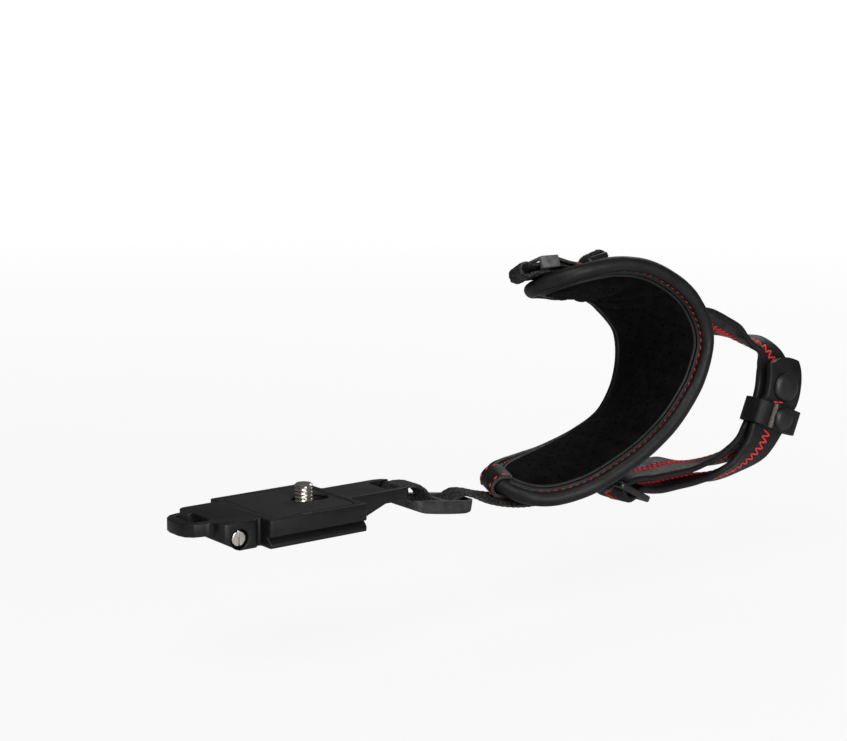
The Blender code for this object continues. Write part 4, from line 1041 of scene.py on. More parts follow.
@dataclass
class HandPad:
    """The padded hand loop: leather border, suede lining, piping, seams and the tab at its lower end."""

    form: PadForm
    panel_inset: float = 4.0
    seam_points: int = 150
    seam_offset: float = 2.35
    seam_depth: float = 0.85
    lip_start: float = 0.82
    fullness: float = 0.45
    floor_height: float = 1.25
    lining_edge: float = -0.68
    lining_thickness: float = 0.7
    crown: float = 1.35
    lobe_start: float = -1.5
    lobe_pitch: float = 22.5
    lobe_height: float = 2.8
    lobe_from: float = 3.0
    lobe_rise: float = 6.0
    lobe_to: float = 54.0
    lobe_fall: float = 7.0
    lobe_wander: float = 1.2
    lobe_power: float = 0.6
    lobe_mean: float = 0.75
    lobe_depth: float = 3.2
    lobe_reach: float = 3.0
    edge_level: float = 0.42
    swell_reach: float = 1.7
    crease_wander: float = 1.6
    pucker_height: float = 0.16
    pucker_pitch: float = 5.1
    pucker_shift: float = 1.9
    pucker_depth: float = 1.4
    pucker_reach: float = 1.5
    rumple: float = 0.14
    piping_radius: float = 0.62
    pitch: float = 2.9
    dash: float = 1.75
    thread_radius: float = 0.27
    hole_pitch: float = 5.0
    hole_radius: float = 0.36
    hole_margin: float = 3.2
    tab_seam: float = 3.4
    tab_width: float = 9.0
    tab_thickness: float = 1.4
    tab_reach: float = 12.0
    tab_return: float = 3.0
    creases: tuple[tuple[float, float, float, float], ...] = (
        (31, 0.9, 1.5, 0.12), (38, 1.1, 1.3, -0.18), (46, 0.9, 1.5, 0.14), (76, 0.75, 1.0, 0.05),
        (93, 0.9, 0.9, -0.06), (106, 0.7, 1.2, 0.08), (121, 0.5, 1.5, -0.05))

    def border_profile(self) -> Outline:
        """Rings (offset, height) from the outer face round the roll to the lip beside the piping."""
        mid, deep, top = self.seam_offset, self.seam_depth, self.form.outer
        rows = [(-self.panel_inset, top), (-1.5, top), (0.6, top), (mid - 1.0, top - 0.02),
                (mid - 0.45, top - 0.16), (mid - 0.18, top - deep * 0.8), (mid + 0.18, top - deep * 0.8),
                (mid + 0.5, top - 0.14)]
        for k in range(15):
            angle = math.radians(84 - 12 * k)
            rows.append((self.form.roll_reach + (self.form.roll + self.fullness) * math.cos(angle),
                         self.form.roll * (1 + math.sin(angle)) - self.fullness * max(-math.sin(angle), 0)))
        rows += [(mid + 0.75, -0.15), (mid + 0.42, deep * 0.6), (mid + 0.15, deep), (mid - 0.15, deep),
                 (mid - 0.4, deep * 0.6), (mid - 0.7, 0.04), (mid - 1.0, -0.14), (mid - 1.3, -0.12),
                 (self.lip_start + 0.08, 0.04), (self.lip_start, 0.3),
                 (self.lip_start, self.floor_height), (-self.panel_inset, self.floor_height)]
        return rows

    def skin(self, along: float, across: float, height: float) -> np.ndarray:
        """A place on the leather, with soft lumps."""
        flat = (along, across, height * 2)
        swell = 0.10 * lump(flat, 7.0) + 0.05 * lump(flat, 2.6)
        return self.form.point(along, across, height + swell)

    def border(self) -> bpy.types.Object:
        """The leather with its outer face, roll and lip, closed over its inside so that it stands for the
        foam too.
        """
        shape = Shape()
        profile = self.border_profile()
        size = 2 * self.seam_points
        for offset, height in profile:
            shape.points += [self.skin(*spot, height) for spot in self.form.ring(offset, self.seam_points)]
        for row in range(len(profile) - 1):
            shape.bridge(row * size, (row + 1) * size, size)
        for offset, height in (profile[0], profile[-1]):
            spots, faces = self.form.leaf(offset, self.seam_points, 14)
            shape.add([self.skin(*spot, height) for spot in spots], faces)
        return shape.piece("pad_border_leather", [LEATHER], 70)

    def lobe(self, along: float) -> float:
        """How far the suede's far edge bulges towards the hand, in a few soft waves."""
        start = held((along - self.lobe_from) / self.lobe_rise)
        fade = start * held((self.lobe_to - along) / self.lobe_fall)
        turn = (along - self.lobe_start + self.lobe_wander * lump((along, 0, 9), 12.0)) / self.lobe_pitch
        wave = abs(math.sin(math.pi * turn)) ** self.lobe_power
        return self.lobe_height * fade * (wave - self.lobe_mean)

    def lining_height(self, along: float, across: float) -> float:
        """Height of the suede: crowned towards the hand, drawn in at the seam and creased across."""
        depth = self.form.from_edge(along, across)
        swell = 1 - math.exp(-max(depth, 0) / self.swell_reach)
        height = self.edge_level - (self.crown + self.edge_level) * swell
        wobble = self.crease_wander * lump((along, across, 0), 9.0)
        for at, deep, wide, lean in self.creases:
            height += deep * swell * bell(along - at - lean * across - wobble, wide)
        pucker = self.pucker_height * bell(depth - self.pucker_depth, self.pucker_reach)
        phase = 0 if across < 0 else self.pucker_shift
        height += pucker * math.sin(2 * math.pi * along / self.pucker_pitch + phase)
        if across > 0:
            height -= self.lobe(along) * bell(depth - self.lobe_depth, self.lobe_reach)
        return height + self.rumple * lump((along, across, 3), 5.0)

    def lining(self) -> bpy.types.Object:
        """The suede as one thin closed sheet."""
        spots, faces = self.form.leaf(self.lining_edge, self.seam_points, 30)
        heights = [self.lining_height(*spot) for spot in spots]
        shape = Shape()
        shape.add([self.form.point(*spot, high) for spot, high in zip(spots, heights)], faces)
        thick = self.lining_thickness
        shape.add([self.form.point(*spot, high + thick) for spot, high in zip(spots, heights)],
                  [tuple(reversed(face)) for face in faces])
        shape.bridge(0, len(spots), 2 * self.seam_points)
        return shape.piece("pad_suede_lining", [SUEDE], 80)

    def piping(self) -> bpy.types.Object:
        """The thin bead between suede and border."""
        shape = Shape()
        size, sides = 2 * self.seam_points, 10
        for k in range(sides):
            angle = 2 * math.pi * k / sides
            height = 0.08 + self.piping_radius * math.sin(angle)
            shape.points += [self.form.point(*spot, height) for spot in
                             self.form.ring(self.piping_radius * math.cos(angle), self.seam_points)]
            shape.bridge(k * size, (k + 1) % sides * size, size)
        return shape.piece("pad_piping_bead", [PIPING], 80)

    def seams(self) -> list[Stitch]:
        """Running stitches round both faces of the border."""
        inner = self.form.seam(self.seam_offset, self.seam_depth - self.thread_radius * 0.9)
        level = self.form.outer - self.seam_depth * 0.8 + self.thread_radius * 0.9
        outer = self.form.seam(self.seam_offset, level)
        return (running(inner.frame, 0, inner.length, self.pitch, self.dash, 12)
                + running(outer.frame, 0, outer.length, self.pitch, self.dash, -12, Face.INNER))

    def holes(self, lining: bpy.types.Object) -> list[Stitch]:
        """Places of the dark discs on the suede that paint the shade inside the perforations."""
        tree = BVHTree.FromPolygons([v.co / MM for v in lining.data.vertices],
                                    [tuple(p.vertices) for p in lining.data.polygons])
        made = []
        row_pitch = self.hole_pitch * 0.9
        for row in range(int(self.form.route.length / row_pitch)):
            for column in range(-4, 5):
                along = (row + 0.5) * row_pitch
                across = (column + 0.5 * (row % 2)) * self.hole_pitch
                if self.form.from_edge(along, across) < self.hole_margin:
                    continue
                start, end = self.form.point(along, across, -6), self.form.point(along, across, 3)
                hit, normal, _, _ = tree.ray_cast(Vector(start), Vector(unit(end - start)), 9)
                if hit is None:
                    continue
                up = np.array(normal)
                made.append(Stitch(np.array(hit), unit(self.form.route.frame(along)[1]), up, 1.0))
        return made

    def tab_route(self) -> Route:
        """The tab's line round the lower end's roll."""
        form = self.form
        tip = form.route.length
        radius = form.roll + GAP + form.seat_rise(self.tab_width) + self.tab_thickness / 2
        middle = tip + form.roll_reach
        places = [(tip - self.tab_reach * share, 0, form.roll + radius) for share in (1, 0.66, 0.33, 0)]
        for k in range(7):
            angle = math.radians(90 - 30 * k)
            places.append((middle + radius * math.cos(angle), 0, form.roll + radius * math.sin(angle)))
        places.append((middle - self.tab_return, 0, form.roll - radius))
        return Route(form.rows(places))

    def build(self, sewing: Sewing, punch: Sewing) -> None:
        """Make and dress every piece of the pad."""
        border = fit(self.border(), "pad_cover", "pad_foam", slot="black_leather")
        lining = fit(self.lining(), "pad_lining", slot="suede")
        fit(self.piping(), "pad_piping", slot="piping")
        tab = self.tab_route()
        section = strip_section(self.tab_width, self.tab_thickness, 0.45, columns=16)
        shape = Shape()
        frames = tab.frames(0.5)
        shape.sweep(frames, [section] * len(frames), edge_mark(16))
        fit(shape.piece("lower_tab_leather", [LEATHER, WORN_EDGE], 50), "lower_tab", slot="black_leather")
        top = self.tab_thickness / 2 + self.thread_radius * 0.5
        stitches = self.seams()
        for across in (-self.tab_seam, self.tab_seam):
            stitches += running(lifted(tab, top, across), 1.2, tab.length - 1.0, self.pitch, self.dash, 10)
        fit(sewing.piece("pad_seam_thread", stitches, self.thread_radius, THREAD))
        # The dark discs paint the shade inside each perforation.
        fit(punch.piece("suede_perforation_painted_shade", self.holes(lining), self.hole_radius, HOLE_PAINTED_SHADE))


def edge_mark(columns: int, first: int = 0) -> Callable[[int, int], int]:
    """Finish number 1 on a leather strip's long edges and ends, 0 elsewhere.

    Args:
        columns: The strip section's columns.
        first: First row that has raw edges.

    Returns:
        The function for Shape.sweep.
    """
    half = columns + 11

    def mark(row: int, corner: int) -> int:
        """Finish number at a row and corner."""
        if row < first:
            return 0
        place = corner % half
        return int(corner < 0 or place < 5 or place >= half - 6)
    return mark


@dataclass
class TopFittings:
    """Lug webbing with its slider, leather band and buckle, on the pad's upper end."""

    form: PadForm
    nodes: dict[str, bpy.types.Object]
    sewn: float = 8.0
    slider_at: float = -0.5
    slider_length: float = 8.5
    slider_height: float = 4.5
    lug_turn: float = -12.0
    lug_shift: float = 5.0
    shift_start: float = 8.0
    loop_room: float = 0.6
    buckle_at: float = 20.5
    buckle_tilt: float = 14.0
    buckle_reach: float = 4.7
    buckle_height: float = 2.3
    buckle_bar: float = 2.3
    bar_round: float = 0.65
    band_width: float = 12.0
    band_thickness: float = 1.2
    tack_count: int = 12
    tack_pitch: float = 0.8
    tack_inset: float = 1.6
    tack_lean: float = 0.35
    tack_length: float = 2.2
    tack_radius: float = 0.28

    def __post_init__(self) -> None:
        """Work out the levels that the webbing runs at."""
        tilt = math.radians(self.buckle_tilt)
        self.low = self.form.outer + GAP + self.form.seat_rise(WEB_WIDTH) + WEB_THICKNESS / 2
        self.high = self.low + WEB_THICKNESS / 2 + GAP + self.slider_height / 2
        self.run = self.buckle_reach * math.cos(tilt)
        self.clear = self.buckle_height * self.bar_round + GAP + WEB_THICKNESS / 2
        out = self.low + self.clear + self.buckle_reach * math.sin(tilt)
        frame = (self.form.point(self.buckle_at, 0, out), *self.form.route.frame(self.buckle_at)[1:])
        self.place = local_place(frame, self.buckle_tilt)
        self.route = Route(self.rows())

    def shift(self, along: float) -> float:
        """How far the webbing stands to the near side on its way to the lug."""
        share = (self.shift_start - along) / (self.shift_start - self.lug_turn)
        return -self.lug_shift * held(share)

    def rows(self) -> list[Row]:
        """The webbing's route: sewn end, lug loop, slider, buckle and tail."""
        half = (self.high - self.low) / 2 + self.loop_room
        near, far = self.buckle_at - self.run, self.buckle_at + self.run
        first = [(along, self.low) for along in (self.sewn, self.sewn / 2, -4, self.lug_turn + 6)]
        first += arc(self.lug_turn + half, (self.low + self.high) / 2, half, (-90, -135, -180, -225, -270))
        first += [(self.lug_turn + 6, self.high), (self.slider_at, self.high),
                  (self.slider_at + 5, self.high - 0.1), (near - 6, self.low + 1.2)]
        tail = [(far + 5, self.low + 0.9), (far + 8.5, self.low), (far + 11, self.low)]
        bars = arc(-self.buckle_reach, 0, self.clear, (-112, -84, -56))
        bars += arc(self.buckle_reach, 0, self.clear, (124, 96, 68, 38, 8, -22))
        side = self.form.route.frame(self.buckle_at)[2]
        before, after = (self.form.rows([(along, self.shift(along), out) for along, out in part])
                         for part in (first, tail))
        return before + [(self.place((along, 0, out)), side) for along, out in bars] + after

    def band_route(self) -> Route:
        """The leather band's line over the webbing."""
        lift = WEB_THICKNESS / 2 + GAP + self.band_thickness / 2
        first = self.route.nearest(self.form.point(self.slider_at, self.shift(self.slider_at), self.high))
        last = self.route.nearest(self.form.point(self.buckle_at - self.run, 0, self.low))
        start, end = first + self.slider_length / 2 + 0.8, last - self.buckle_bar / 2 - 1.4
        places = np.linspace(start, end, 6)
        return Route([(self.route.at(s, 0, lift), self.route.frame(s)[2]) for s in places])

    def tack(self, band: Route) -> list[Stitch]:
        """The bar tack near the band's end, which also wraps both long edges."""
        centre, ahead, side, normal = band.frame(band.length - self.tack_inset)
        made = []
        for k in range(self.tack_count):
            spot = (centre + side * (k - (self.tack_count - 1) / 2) * self.tack_pitch
                    + normal * (self.band_thickness / 2 + 0.2))
            lean = self.tack_lean if k % 2 else -self.tack_lean
            made.append(Stitch(spot, unit(ahead + side * lean), normal, self.tack_length))
        skin = self.band_width / 2 + 0.12
        for edge in (-1, 1):
            for k in range(3):
                spot = centre + ahead * (k * self.tack_pitch + 0.2) + side * edge * skin
                made.append(Stitch(spot, normal, side * edge, self.band_thickness))
        return made

    def build(self, sewing: Sewing) -> None:
        """Make and dress every piece."""
        fit(woven_strip("top_webbing_weave", self.route), "top_webbing", slot="mesh_webbing")
        # The top slider's lighter colour is painted light.
        moulded(self.nodes, "top_slider", "moulding", LIT_TOP_PLASTIC, 0.28, "grey_plastic")
        moulded(self.nodes, "upper_buckle", "moulding", BUCKLE_PLASTIC, 0.5, "grey_plastic")
        band = self.band_route()
        frames = band.frames(0.4)
        shape = Shape()
        shape.sweep(frames, [strip_section(self.band_width, self.band_thickness, 0.4, 0.08, columns=16)]
                    * len(frames), edge_mark(16))
        fit(shape.piece("top_band_leather", [LEATHER, WORN_EDGE], 50), "top_band", slot="black_leather")
        fit(sewing.piece("band_tack_thread", self.tack(band), self.tack_radius, THREAD))


@dataclass
class LowerFittings:
    """Webbing, slider and buckle between the plate's right ring and the wrist strap."""

    nodes: dict[str, bpy.types.Object]
    right_tip: float = 48.25
    ring_wall: float = 3.5
    ring_height: float = 4.5
    saddle: float = 1.9
    slider_at: tuple[float, float, float] = (62.4, 0, -9.9)
    buckle_at: tuple[float, float, float] = (150.5, -4.5, -16.0)
    buckle_slope: float = 28.0
    buckle_bars: tuple[float, float, float] = (-8.4, 0.0, 7.8)
    buckle_height: float = 2.4
    bar_round: float = 0.65
    slider_entry: tuple[tuple[float, float], ...] = ((-7.5, 1.3), (-11.4, 1.9))
    boat_cuts: tuple[float, ...] = (
        -12.8, -11.8, -10.6, -9.2, -7.5, -4.0, 0.0, 4.0, 7.5, 9.2, 10.6, 11.8, 12.8)
    boat_half: float = 13.5
    boat_flat: float = 8.5
    boat_end: float = 5.0
    boat_rise: float = 1.9
    boat_belly: float = 0.35
    boat_top: float = 1.2
    boat_depth: float = 3.0

    def __post_init__(self) -> None:
        """Place the buckle."""
        angle = math.radians(self.buckle_slope)
        ahead, side = np.array([math.cos(angle), 0, -math.sin(angle)]), np.array([0.0, 1, 0])
        self.place = local_place((np.array(self.buckle_at, float), ahead, side, np.cross(ahead, side)))

    def round_bar(self, bar: float, radius: float, angles: Sequence[float]) -> list[Row]:
        """Route rows round one bar of the buckle, at angles in degrees from its far end."""
        return [(self.place((along, 0, out)), (0, 1, 0)) for along, out in arc(bar, 0, radius, angles)]

    def route(self) -> Route:
        """The webbing's line from its sewn end round the ring, through the slider, to the buckle."""
        wall, off = self.right_tip - self.ring_wall, WEB_THICKNESS / 2 + GAP
        low, high = -self.ring_height, -self.saddle
        x, _, z = self.slider_at
        loop = [(x + along, z + out) for along, out in self.slider_entry]
        loop += [(wall + 2.4, low - off - 0.1), (wall - 0.5, low - off + 0.1), (wall - off - 0.1, low + 0.3),
                 (wall - off - 0.1, high - 0.3), (wall - 0.5, high + off - 0.1),
                 (wall + 1.6, high + off + 0.05)]
        turn = self.buckle_height / 2 + 2 * GAP + WEB_THICKNESS / 2
        around = self.round_bar(self.buckle_bars[0], turn, (118, 80, 40, 0, -30, -62))
        return Route([((x, 0, z), (0, 1, 0)) for x, z in loop] + LOWER_FREE + around + LOWER_TAIL)

    def bar_turn(self) -> list[Row]:
        """The strap's way through the buckle: round the middle bar, then over the last one."""
        radius = self.buckle_height * self.bar_round + GAP + STRAP_THICKNESS / 2
        _, middle, last = self.buckle_bars
        cross = math.degrees(math.asin(2 * radius / (last - middle)))
        return (self.round_bar(middle, radius, (126, 160, 195, 232, 270 + cross * 0.5, 270 + cross))
                + self.round_bar(last, radius, (90 + cross, 90 + cross / 2, 90)))

    def shape_boat(self, mesh: bpy.types.Mesh) -> None:
        """Round the slider's underside up towards both ends."""
        x, _, z = self.slider_at
        work = bmesh.new()
        work.from_mesh(mesh)
        for place in self.boat_cuts:
            bmesh.ops.bisect_plane(work, geom=work.verts[:] + work.edges[:] + work.faces[:],
                                   plane_co=((x + place) * MM, 0, 0), plane_no=(1, 0, 0))
        for vertex in work.verts:
            off = vertex.co.x / MM - x
            end = max(0.0, abs(off) - self.boat_flat) / self.boat_end
            share = held((z + self.boat_top - vertex.co.z / MM) / self.boat_depth)
            belly = self.boat_belly * (1 - (off / self.boat_half) ** 2)
            vertex.co.z += share * MM * (self.boat_rise * end ** 2 - belly)
        work.to_mesh(mesh)
        work.free()
        shade(mesh, EDGE_ANGLE)

    def build(self) -> None:
        """Make and dress every piece."""
        fit(woven_strip("lower_webbing_weave", self.route()), "lower_webbing", slot="mesh_webbing")
        # The lower slider's darker colour is painted shade.
        slider = softened(self.nodes["lower_slider"], "lower_slider_moulding", SHADED_SLIDER_PLASTIC, 0.45)
        self.shape_boat(slider.data)
        fit(slider, "lower_slider", slot="grey_plastic")
        moulded(self.nodes, "lower_buckle", "moulding", BUCKLE_PLASTIC, 0.55, "grey_plastic")


@dataclass
class WristStrap:
    """The leather wrist strap with its zigzag seam, tab, keeper and snaps."""

    form: PadForm
    lower: LowerFittings
    nodes: dict[str, bpy.types.Object]
    sewn: float = 43.5
    edge: float = 1.2
    columns: int = 16
    step: float = 0.8
    seam_half: float = 2.25
    seam_pitch: float = 2.75
    thread_radius: float = 0.43
    tab_end: float = 2.21
    outer_shift: float = 1.2
    snap_room: float = 2.8
    keeper_room: float = 1.85
    snap_at: float = 96.0
    keeper_at: float = 108.5
    keeper_turn: float = 6.0
    keeper_height: float = 10.0
    keeper_thickness: float = 1.2
    keeper_bend: float = 2.0
    keeper_lean: float = 0.6
    keeper_play: float = 0.35
    keeper_snap_across: float = 1.4
    flap_end: float = -4.2
    washer: float = 0.6
    tab_cap: float = 5.9
    keeper_cap: float = 4.5
    cap_height: float = 1.6
    post: float = 1.2
    row_gap: float = 1.9
    row_lean: float = 0.34
    row_pitch: float = 2.4
    row_start: float = 3.2
    row_dash: float = 2.7
    row_lift: float = 0.25

    def __post_init__(self) -> None:
        """Lay the strap's line."""
        out = self.form.outer + GAP + self.form.seat_rise(STRAP_WIDTH) + STRAP_THICKNESS / 2
        start = self.form.rows([(self.sewn, 0, out), (self.sewn + 6, 0, out)])
        self.inner = Route(start + WRIST_FREE)
        outer = [(self.inner.at(*place), self.inner.frame(place[0])[2]) for place in OUTER_RUN]
        self.route = Route(start + WRIST_FREE + self.lower.bar_turn() + WRIST_RETURN + outer)
        self.keeper_s = self.route.nearest(self.inner.at(self.keeper_at, 0, OUTER_RUN[3][2]))

    def on_strap(self, at: float, across: float) -> Place:
        """A snap's own axes: along the strap, across it and outward from its middle line."""
        centre, ahead, side, normal = self.inner.frame(at)
        return local_place((centre + side * across, ahead, side, normal))

    def keeper_place(self, across: float) -> Place:
        """The keeper's own axes, turned a little on the strap and moved across it."""
        centre, ahead, side, normal = self.inner.frame(self.keeper_at)
        turn = math.radians(self.keeper_turn)
        ahead, side = (ahead * math.cos(turn) + side * math.sin(turn),
                       side * math.cos(turn) - ahead * math.sin(turn))
        return local_place((centre + side * across, ahead, side, normal))

    def strap(self) -> bpy.types.Object:
        """The strap in one piece, round at the tab's end."""
        length = self.route.length
        places = list(np.linspace(0, length - self.tab_end, round((length - self.tab_end) / self.step)))
        sections = []
        for s in places:
            tab = held((s - self.keeper_s - 5) / 3)
            sections.append(strip_section(STRAP_WIDTH, STRAP_THICKNESS, self.edge, 0.12 * (1 - tab),
                                          0.35 * (1 - tab), self.columns))
        plain = sections[-1]
        half = STRAP_WIDTH / 2
        bend = (half ** 2 + self.tab_end ** 2) / (2 * self.tab_end)
        for k in range(1, 13):
            left = self.tab_end * (1 - k / 12) ** 2
            places.append(length - left)
            sections.append(scaled(plain, max(math.sqrt(2 * bend * left - left ** 2) / half, 0.03)))
        shape = Shape()
        frames = [self.route.frame(s) for s in places]
        shape.sweep(frames, sections, edge_mark(self.columns, len(places) - 11))
        return shape.piece("wrist_strap_leather", [LEATHER, RAW_EDGE], 60)

    def keeper_route(self) -> Route:
        """The keeper's line round both runs, its flap on its own start."""
        back = -STRAP_THICKNESS / 2 - 2 * self.keeper_play - self.keeper_thickness / 2
        front = STRAP_THICKNESS * 1.5 + self.keeper_room + self.keeper_play + self.washer + GAP
        front += self.keeper_thickness / 2
        flap = front + self.keeper_thickness + GAP
        right = STRAP_WIDTH / 2 + self.keeper_lean + self.keeper_play + self.keeper_thickness / 2
        left, bend = -right, self.keeper_bend
        nip = bend * 0.3
        path = [
            (right - bend - 1.2, front), (0, front), (left + bend, front), (left + nip, front - nip),
            (left, front - bend), (left, back + bend), (left + nip, back + nip), (left + bend, back),
            (0, back), (right - bend, back), (right - nip, back + nip), (right, back + bend),
            (right, flap - bend), (right - nip, flap - nip), (right - bend, flap),
            (self.keeper_snap_across, flap), (self.flap_end, flap)]
        place = self.keeper_place(0)
        ahead = unit(place((1, 0, 0)) - place((0, 0, 0)))
        return Route([(place((0, across, out)), ahead) for across, out in path])

    def cap(self, radius: float, place: Place, base: float, post_end: float, name: str) -> bpy.types.Object:
        """A domed snap cap with a soft rim and its post."""
        high = self.cap_height
        profile = [(0, high), (radius * 0.25, high * 0.99), (radius * 0.5, high * 0.94),
                   (radius * 0.7, high * 0.84), (radius * 0.84, high * 0.68), (radius * 0.93, high * 0.5),
                   (radius * 0.985, high * 0.3), (radius, high * 0.14), (radius * 0.99, high * 0.03),
                   (radius * 0.965, 0), (self.post, 0), (self.post, post_end - base), (0, post_end - base)]
        shape = Shape()
        shape.turn([(r, z + base) for r, z in profile], place, 64)
        return shape.piece(name, [SNAP_METAL], 50)

    def seams(self) -> list[Stitch]:
        """Zigzags down the middle of both faces, from the sewn end to the keeper."""
        lift = STRAP_THICKNESS / 2 + self.thread_radius * 0.15
        end = self.keeper_s - self.keeper_height / 2
        made = zigzag(lifted(self.route, lift), 1.5, end, self.seam_pitch, self.seam_half, Face.OUTER)
        made += zigzag(lifted(self.route, -lift), 1.5, end, self.seam_pitch, self.seam_half, Face.INNER)
        return made

    def short_row(self) -> list[Stitch]:
        """Two stitches across the tab, just past the keeper."""
        at = self.keeper_s + self.keeper_height / 2 + self.row_gap
        centre, ahead, side, normal = self.route.frame(at)
        level = unit(side + ahead * self.row_lean)
        lift = STRAP_THICKNESS / 2 + self.row_lift
        spots = [centre + level * (k * self.row_pitch - self.row_start) - normal * lift for k in range(2)]
        return [Stitch(spot, level, -normal, self.row_dash) for spot in spots]

    def build(self, sewing: Sewing) -> None:
        """Make and dress every piece."""
        fit(self.strap(), "wrist_strap", slot="black_leather")
        stitches = self.seams() + self.short_row()
        fit(sewing.piece("wrist_seam_thread", stitches, self.thread_radius, THREAD))
        keeper = self.keeper_route()
        frames = keeper.frames(0.4)
        shape = Shape()
        plain = strip_section(self.keeper_height, self.keeper_thickness, 0.4, columns=12)
        skived = [scaled(plain, 1, 1 - 0.09 * max(0, row - len(frames) + 6)) for row in range(len(frames))]
        shape.sweep(frames, skived, lambda row, corner: int(row > len(frames) - 6 or corner < 0 < row))
        fit(shape.piece("keeper_leather", [LEATHER, RAW_EDGE], 50), "keeper", slot="black_leather")
        self.snaps()

    def snaps(self) -> None:
        """The two caps and the parts behind them."""
        skin = STRAP_THICKNESS / 2
        place = self.on_strap(self.snap_at, self.outer_shift)
        base = skin + self.snap_room + STRAP_THICKNESS + GAP
        socket_low = skin + self.snap_room - GAP - 1.0
        dome = self.cap(self.tab_cap, place, base, socket_low + 0.6, "tab_snap_dome")
        fit(dome, "tab_snap_cap", slot="snap_cap")
        low = STRAP_THICKNESS * 1.5 + self.keeper_room + self.keeper_play
        front = low + self.washer + GAP + self.keeper_thickness / 2
        base = front + self.keeper_thickness * 1.5 + 2 * GAP
        place = self.keeper_place(self.keeper_snap_across)
        dome = self.cap(self.keeper_cap, place, base, low + self.washer / 2, "keeper_snap_dome")
        fit(dome, "keeper_snap_cap", slot="snap_cap")
        for node in ("tab_snap_socket", "tab_snap_stud", "tab_snap_post", "keeper_snap_washer"):
            moulded(self.nodes, node, "turned", SNAP_METAL, 0.08, "snap_cap", segments=2)


@dataclass
class BasePlate:
    """The plate with its seat, camera screw, clip and end screw."""

    nodes: dict[str, bpy.types.Object]
    screw_x: float = 6.35
    plate_height: float = 9.6
    head_radius: float = 6.0
    head_height: float = 3.6
    shank_radius: float = 3.175
    neck_radius: float = 2.3
    neck: tuple[float, float] = (-2.6, -1.3)
    reach: float = 5.5
    thread_pitch: float = 1.27
    thread_depth: float = 0.55
    slot_width: float = 1.5
    slot_depth: float = 1.6

    def screw_profile(self) -> Outline:
        """The screw from its head's bottom to its tip, in fine steps along the thread."""
        bottom = -self.plate_height + GAP
        head_top = bottom + self.head_height
        low, high = self.neck
        start = high + 0.4
        head, shank = self.head_radius, self.shank_radius
        rows = [(0, bottom), (2.0, bottom), (head - 0.6, bottom), (head - 0.17, bottom + 0.17),
                (head, bottom + 0.6), (head, head_top - 0.3), (head - 0.3, head_top), (shank, head_top),
                (shank, low), (self.neck_radius, low), (self.neck_radius, high), (shank, high)]
        threaded = self.reach - 0.5 - start
        count = round(threaded / 0.11)
        rows += [(shank, start + threaded * k / count) for k in range(count + 1)]
        return rows + [(shank - 0.6, self.reach), (0, self.reach)]

    def camera_screw(self) -> bpy.types.Object:
        """The quarter-inch screw with its thread and coin slot."""
        start, end = self.neck[1] + 0.4, self.reach - 0.5

        def groove(angle: float, height: float) -> float:
            """How deep the thread is cut at an angle and height."""
            fade = held((height - start) / 0.6) * held((end - height) / 0.4)
            turn = (height / self.thread_pitch - angle / (2 * math.pi)) % 1
            return self.thread_depth * fade * (1 - abs(2 * turn - 1)) if start < height < end else 0.0

        shape = Shape()
        shape.turn(self.screw_profile(), lambda p: np.array([self.screw_x + p[0], p[1], p[2]]), 64, groove)
        screw = shape.piece("camera_screw_turned", [BRIGHT_STEEL], 35)
        bottom = -self.plate_height + GAP
        half, long = self.slot_width / 2, self.head_radius + 1
        bpy.ops.mesh.primitive_cube_add(size=1)
        cutter = bpy.context.object
        for vertex in cutter.data.vertices:
            x, y, z = vertex.co
            level = bottom - 1 + (z + 0.5) * (1 + self.slot_depth)
            vertex.co = Vector((self.screw_x + 2 * x * half, 2 * y * long, level))
            vertex.co *= MM
        modifier = screw.modifiers.new("coin slot", "BOOLEAN")
        modifier.object, modifier.solver = cutter, "EXACT"
        screw.data = applied(screw)
        bpy.data.objects.remove(cutter, do_unlink=True)
        return screw

    def build(self) -> None:
        """Make and dress every piece."""
        moulded(self.nodes, "base_plate", "anodised", ANODISED, 0.3, "black_anodised")
        moulded(self.nodes, "seat_pad", "rubber", RUBBER, 0.2, "seat_rubber")
        moulded(self.nodes, "end_screw", "turned", BRIGHT_STEEL, 0.14, "bright_steel")
        fit(self.camera_screw(), "camera_screw", slot="bright_steel", body="screw")
        moulded(self.nodes, "screw_clip", "turned", BRIGHT_STEEL, 0.1, "bright_steel", body="clip")


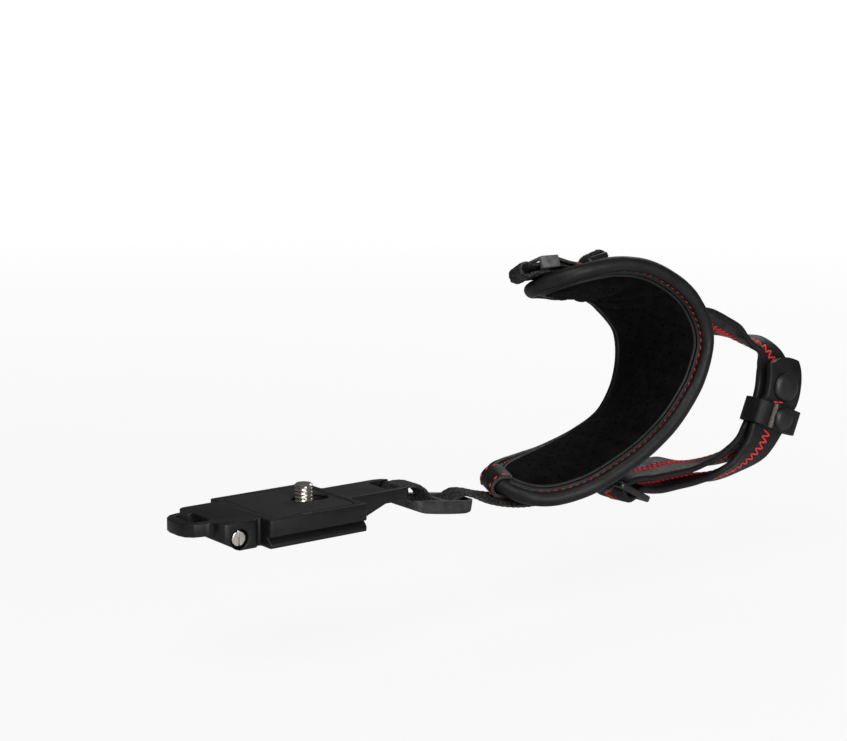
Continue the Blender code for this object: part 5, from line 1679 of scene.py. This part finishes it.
@dataclass
class Studio:
    """Camera, pale floor and soft lights."""

    yaw: float = 37.81
    pitch: float = 10.21
    roll: float = 0.38
    place: tuple[float, float, float] = (-0.34871, -0.52443, 0.1589)
    focal: float = 1887.05
    picture: int = 847
    sensor: float = 36.0
    floor: float = -0.060
    floor_reach: float = 6000.0
    glow_near: tuple[float, float] = (0.3, 0.90)
    glow_far: tuple[float, float] = (1.4, 1.0)
    sky_light: float = 0.10
    aim: tuple[float, float, float] = (0.08, 0, 0.01)
    lights: tuple[tuple[str, tuple[float, float, float], float, float], ...] = (
        ("key", (-0.55, -0.55, 0.95), 0.7, 6.5), ("front", (-0.10, -1.1, 0.25), 0.6, 6.0),
        ("rim", (0.75, 0.35, 0.55), 0.5, 1.4))

    def camera(self) -> None:
        """Stand the camera where the photograph was taken."""
        yaw, pitch, roll = (math.radians(a) for a in (self.yaw, self.pitch, self.roll))
        ahead = Vector((math.sin(yaw) * math.cos(pitch), math.cos(yaw) * math.cos(pitch), -math.sin(pitch)))
        right = Vector((math.cos(yaw), -math.sin(yaw), 0))
        up = right.cross(ahead)
        level = right * math.cos(roll) + up * math.sin(roll)
        rise = up * math.cos(roll) - right * math.sin(roll)
        data = bpy.data.cameras.new("photo_camera")
        data.sensor_width = self.sensor
        data.lens = self.sensor * self.focal / self.picture
        data.clip_start = 0.01
        made = bpy.data.objects.new("photo_camera", data)
        made.matrix_world = Matrix((level, rise, -ahead)).transposed().to_4x4()
        made.location = self.place
        bpy.context.collection.objects.link(made)
        bpy.context.scene.camera = made

    def light(self, name: str, place: tuple[float, float, float], size: float, power: float) -> None:
        """A square soft light that looks at the part."""
        data = bpy.data.lights.new(name, "AREA")
        data.size, data.energy = size, power
        made = bpy.data.objects.new(name, data)
        made.location = place
        way = Vector(self.aim) - Vector(place)
        made.rotation_euler = way.to_track_quat("-Z", "Y").to_euler()
        bpy.context.collection.objects.link(made)

    def sky(self) -> None:
        """White where the camera looks, soft grey as light."""
        world = bpy.data.worlds.new("studio")
        bpy.context.scene.world = world
        world.use_nodes = True
        nodes, links = world.node_tree.nodes, world.node_tree.links
        path = nodes.new("ShaderNodeLightPath")
        level = map_range(world.node_tree, path.outputs["Is Camera Ray"], 0, 1, self.sky_light, 1)
        background = nodes["Background"]
        background.inputs["Color"].default_value = (1, 1, 1, 1)
        links.new(level, background.inputs["Strength"])

    def ground(self) -> None:
        """A large pale floor that keeps the part's shadow."""
        shape = Shape()
        reach, level = self.floor_reach, self.floor / MM
        corners = ((-reach, -reach), (reach, -reach), (reach, reach), (-reach, reach))
        shape.add([np.array((x, y, level)) for x, y in corners], [(0, 1, 2, 3)])
        finish = Plastic("studio_floor", (0.80, 0.80, 0.80), (0.82, 0.82, 0.82), 0.9)
        floor = shape.piece("studio_floor", [finish])
        tree = finish.material().node_tree
        path = tree.nodes.new("ShaderNodeLightPath")
        where = tree.nodes.new("ShaderNodeNewGeometry")
        away = tree.nodes.new("ShaderNodeVectorMath")
        away.operation = "LENGTH"
        tree.links.new(where.outputs["Position"], away.inputs[0])
        (near, low), (far, high) = self.glow_near, self.glow_far
        fade = map_range(tree, away.outputs["Value"], near, far, low, high)
        share = map_range(tree, path.outputs["Is Camera Ray"], 0, 1, 0, 1)
        tree.links.new(fade, share.node.inputs["To Max"])
        glow = tree.nodes.new("ShaderNodeEmission")
        mix = tree.nodes.new("ShaderNodeMixShader")
        tree.links.new(share, mix.inputs["Fac"])
        tree.links.new(tree.nodes["Principled BSDF"].outputs["BSDF"], mix.inputs[1])
        tree.links.new(glow.outputs["Emission"], mix.inputs[2])
        tree.links.new(mix.outputs["Shader"], tree.nodes["Material Output"].inputs["Surface"])

    def build(self) -> None:
        """Set up the whole studio."""
        self.camera()
        self.sky()
        self.ground()
        for name, place, size, power in self.lights:
            self.light(name, place, size, power)
        bpy.context.scene.view_settings.view_transform = "Standard"


def main() -> None:
    """Dress the part."""
    logging.basicConfig(level=logging.INFO, format="%(message)s")
    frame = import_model()
    nodes = frame["nodes"]
    form = PadForm(Route(PAD_ROUTE))
    sewing, punch = Sewing("stitches"), Sewing("perforations", round_hole=True)
    BasePlate(nodes).build()
    HandPad(form).build(sewing, punch)
    TopFittings(form, nodes).build(sewing)
    lower = LowerFittings(nodes)
    lower.build()
    WristStrap(form, lower, nodes).build(sewing)
    Studio().build()


if __name__ == "__main__":
    main()
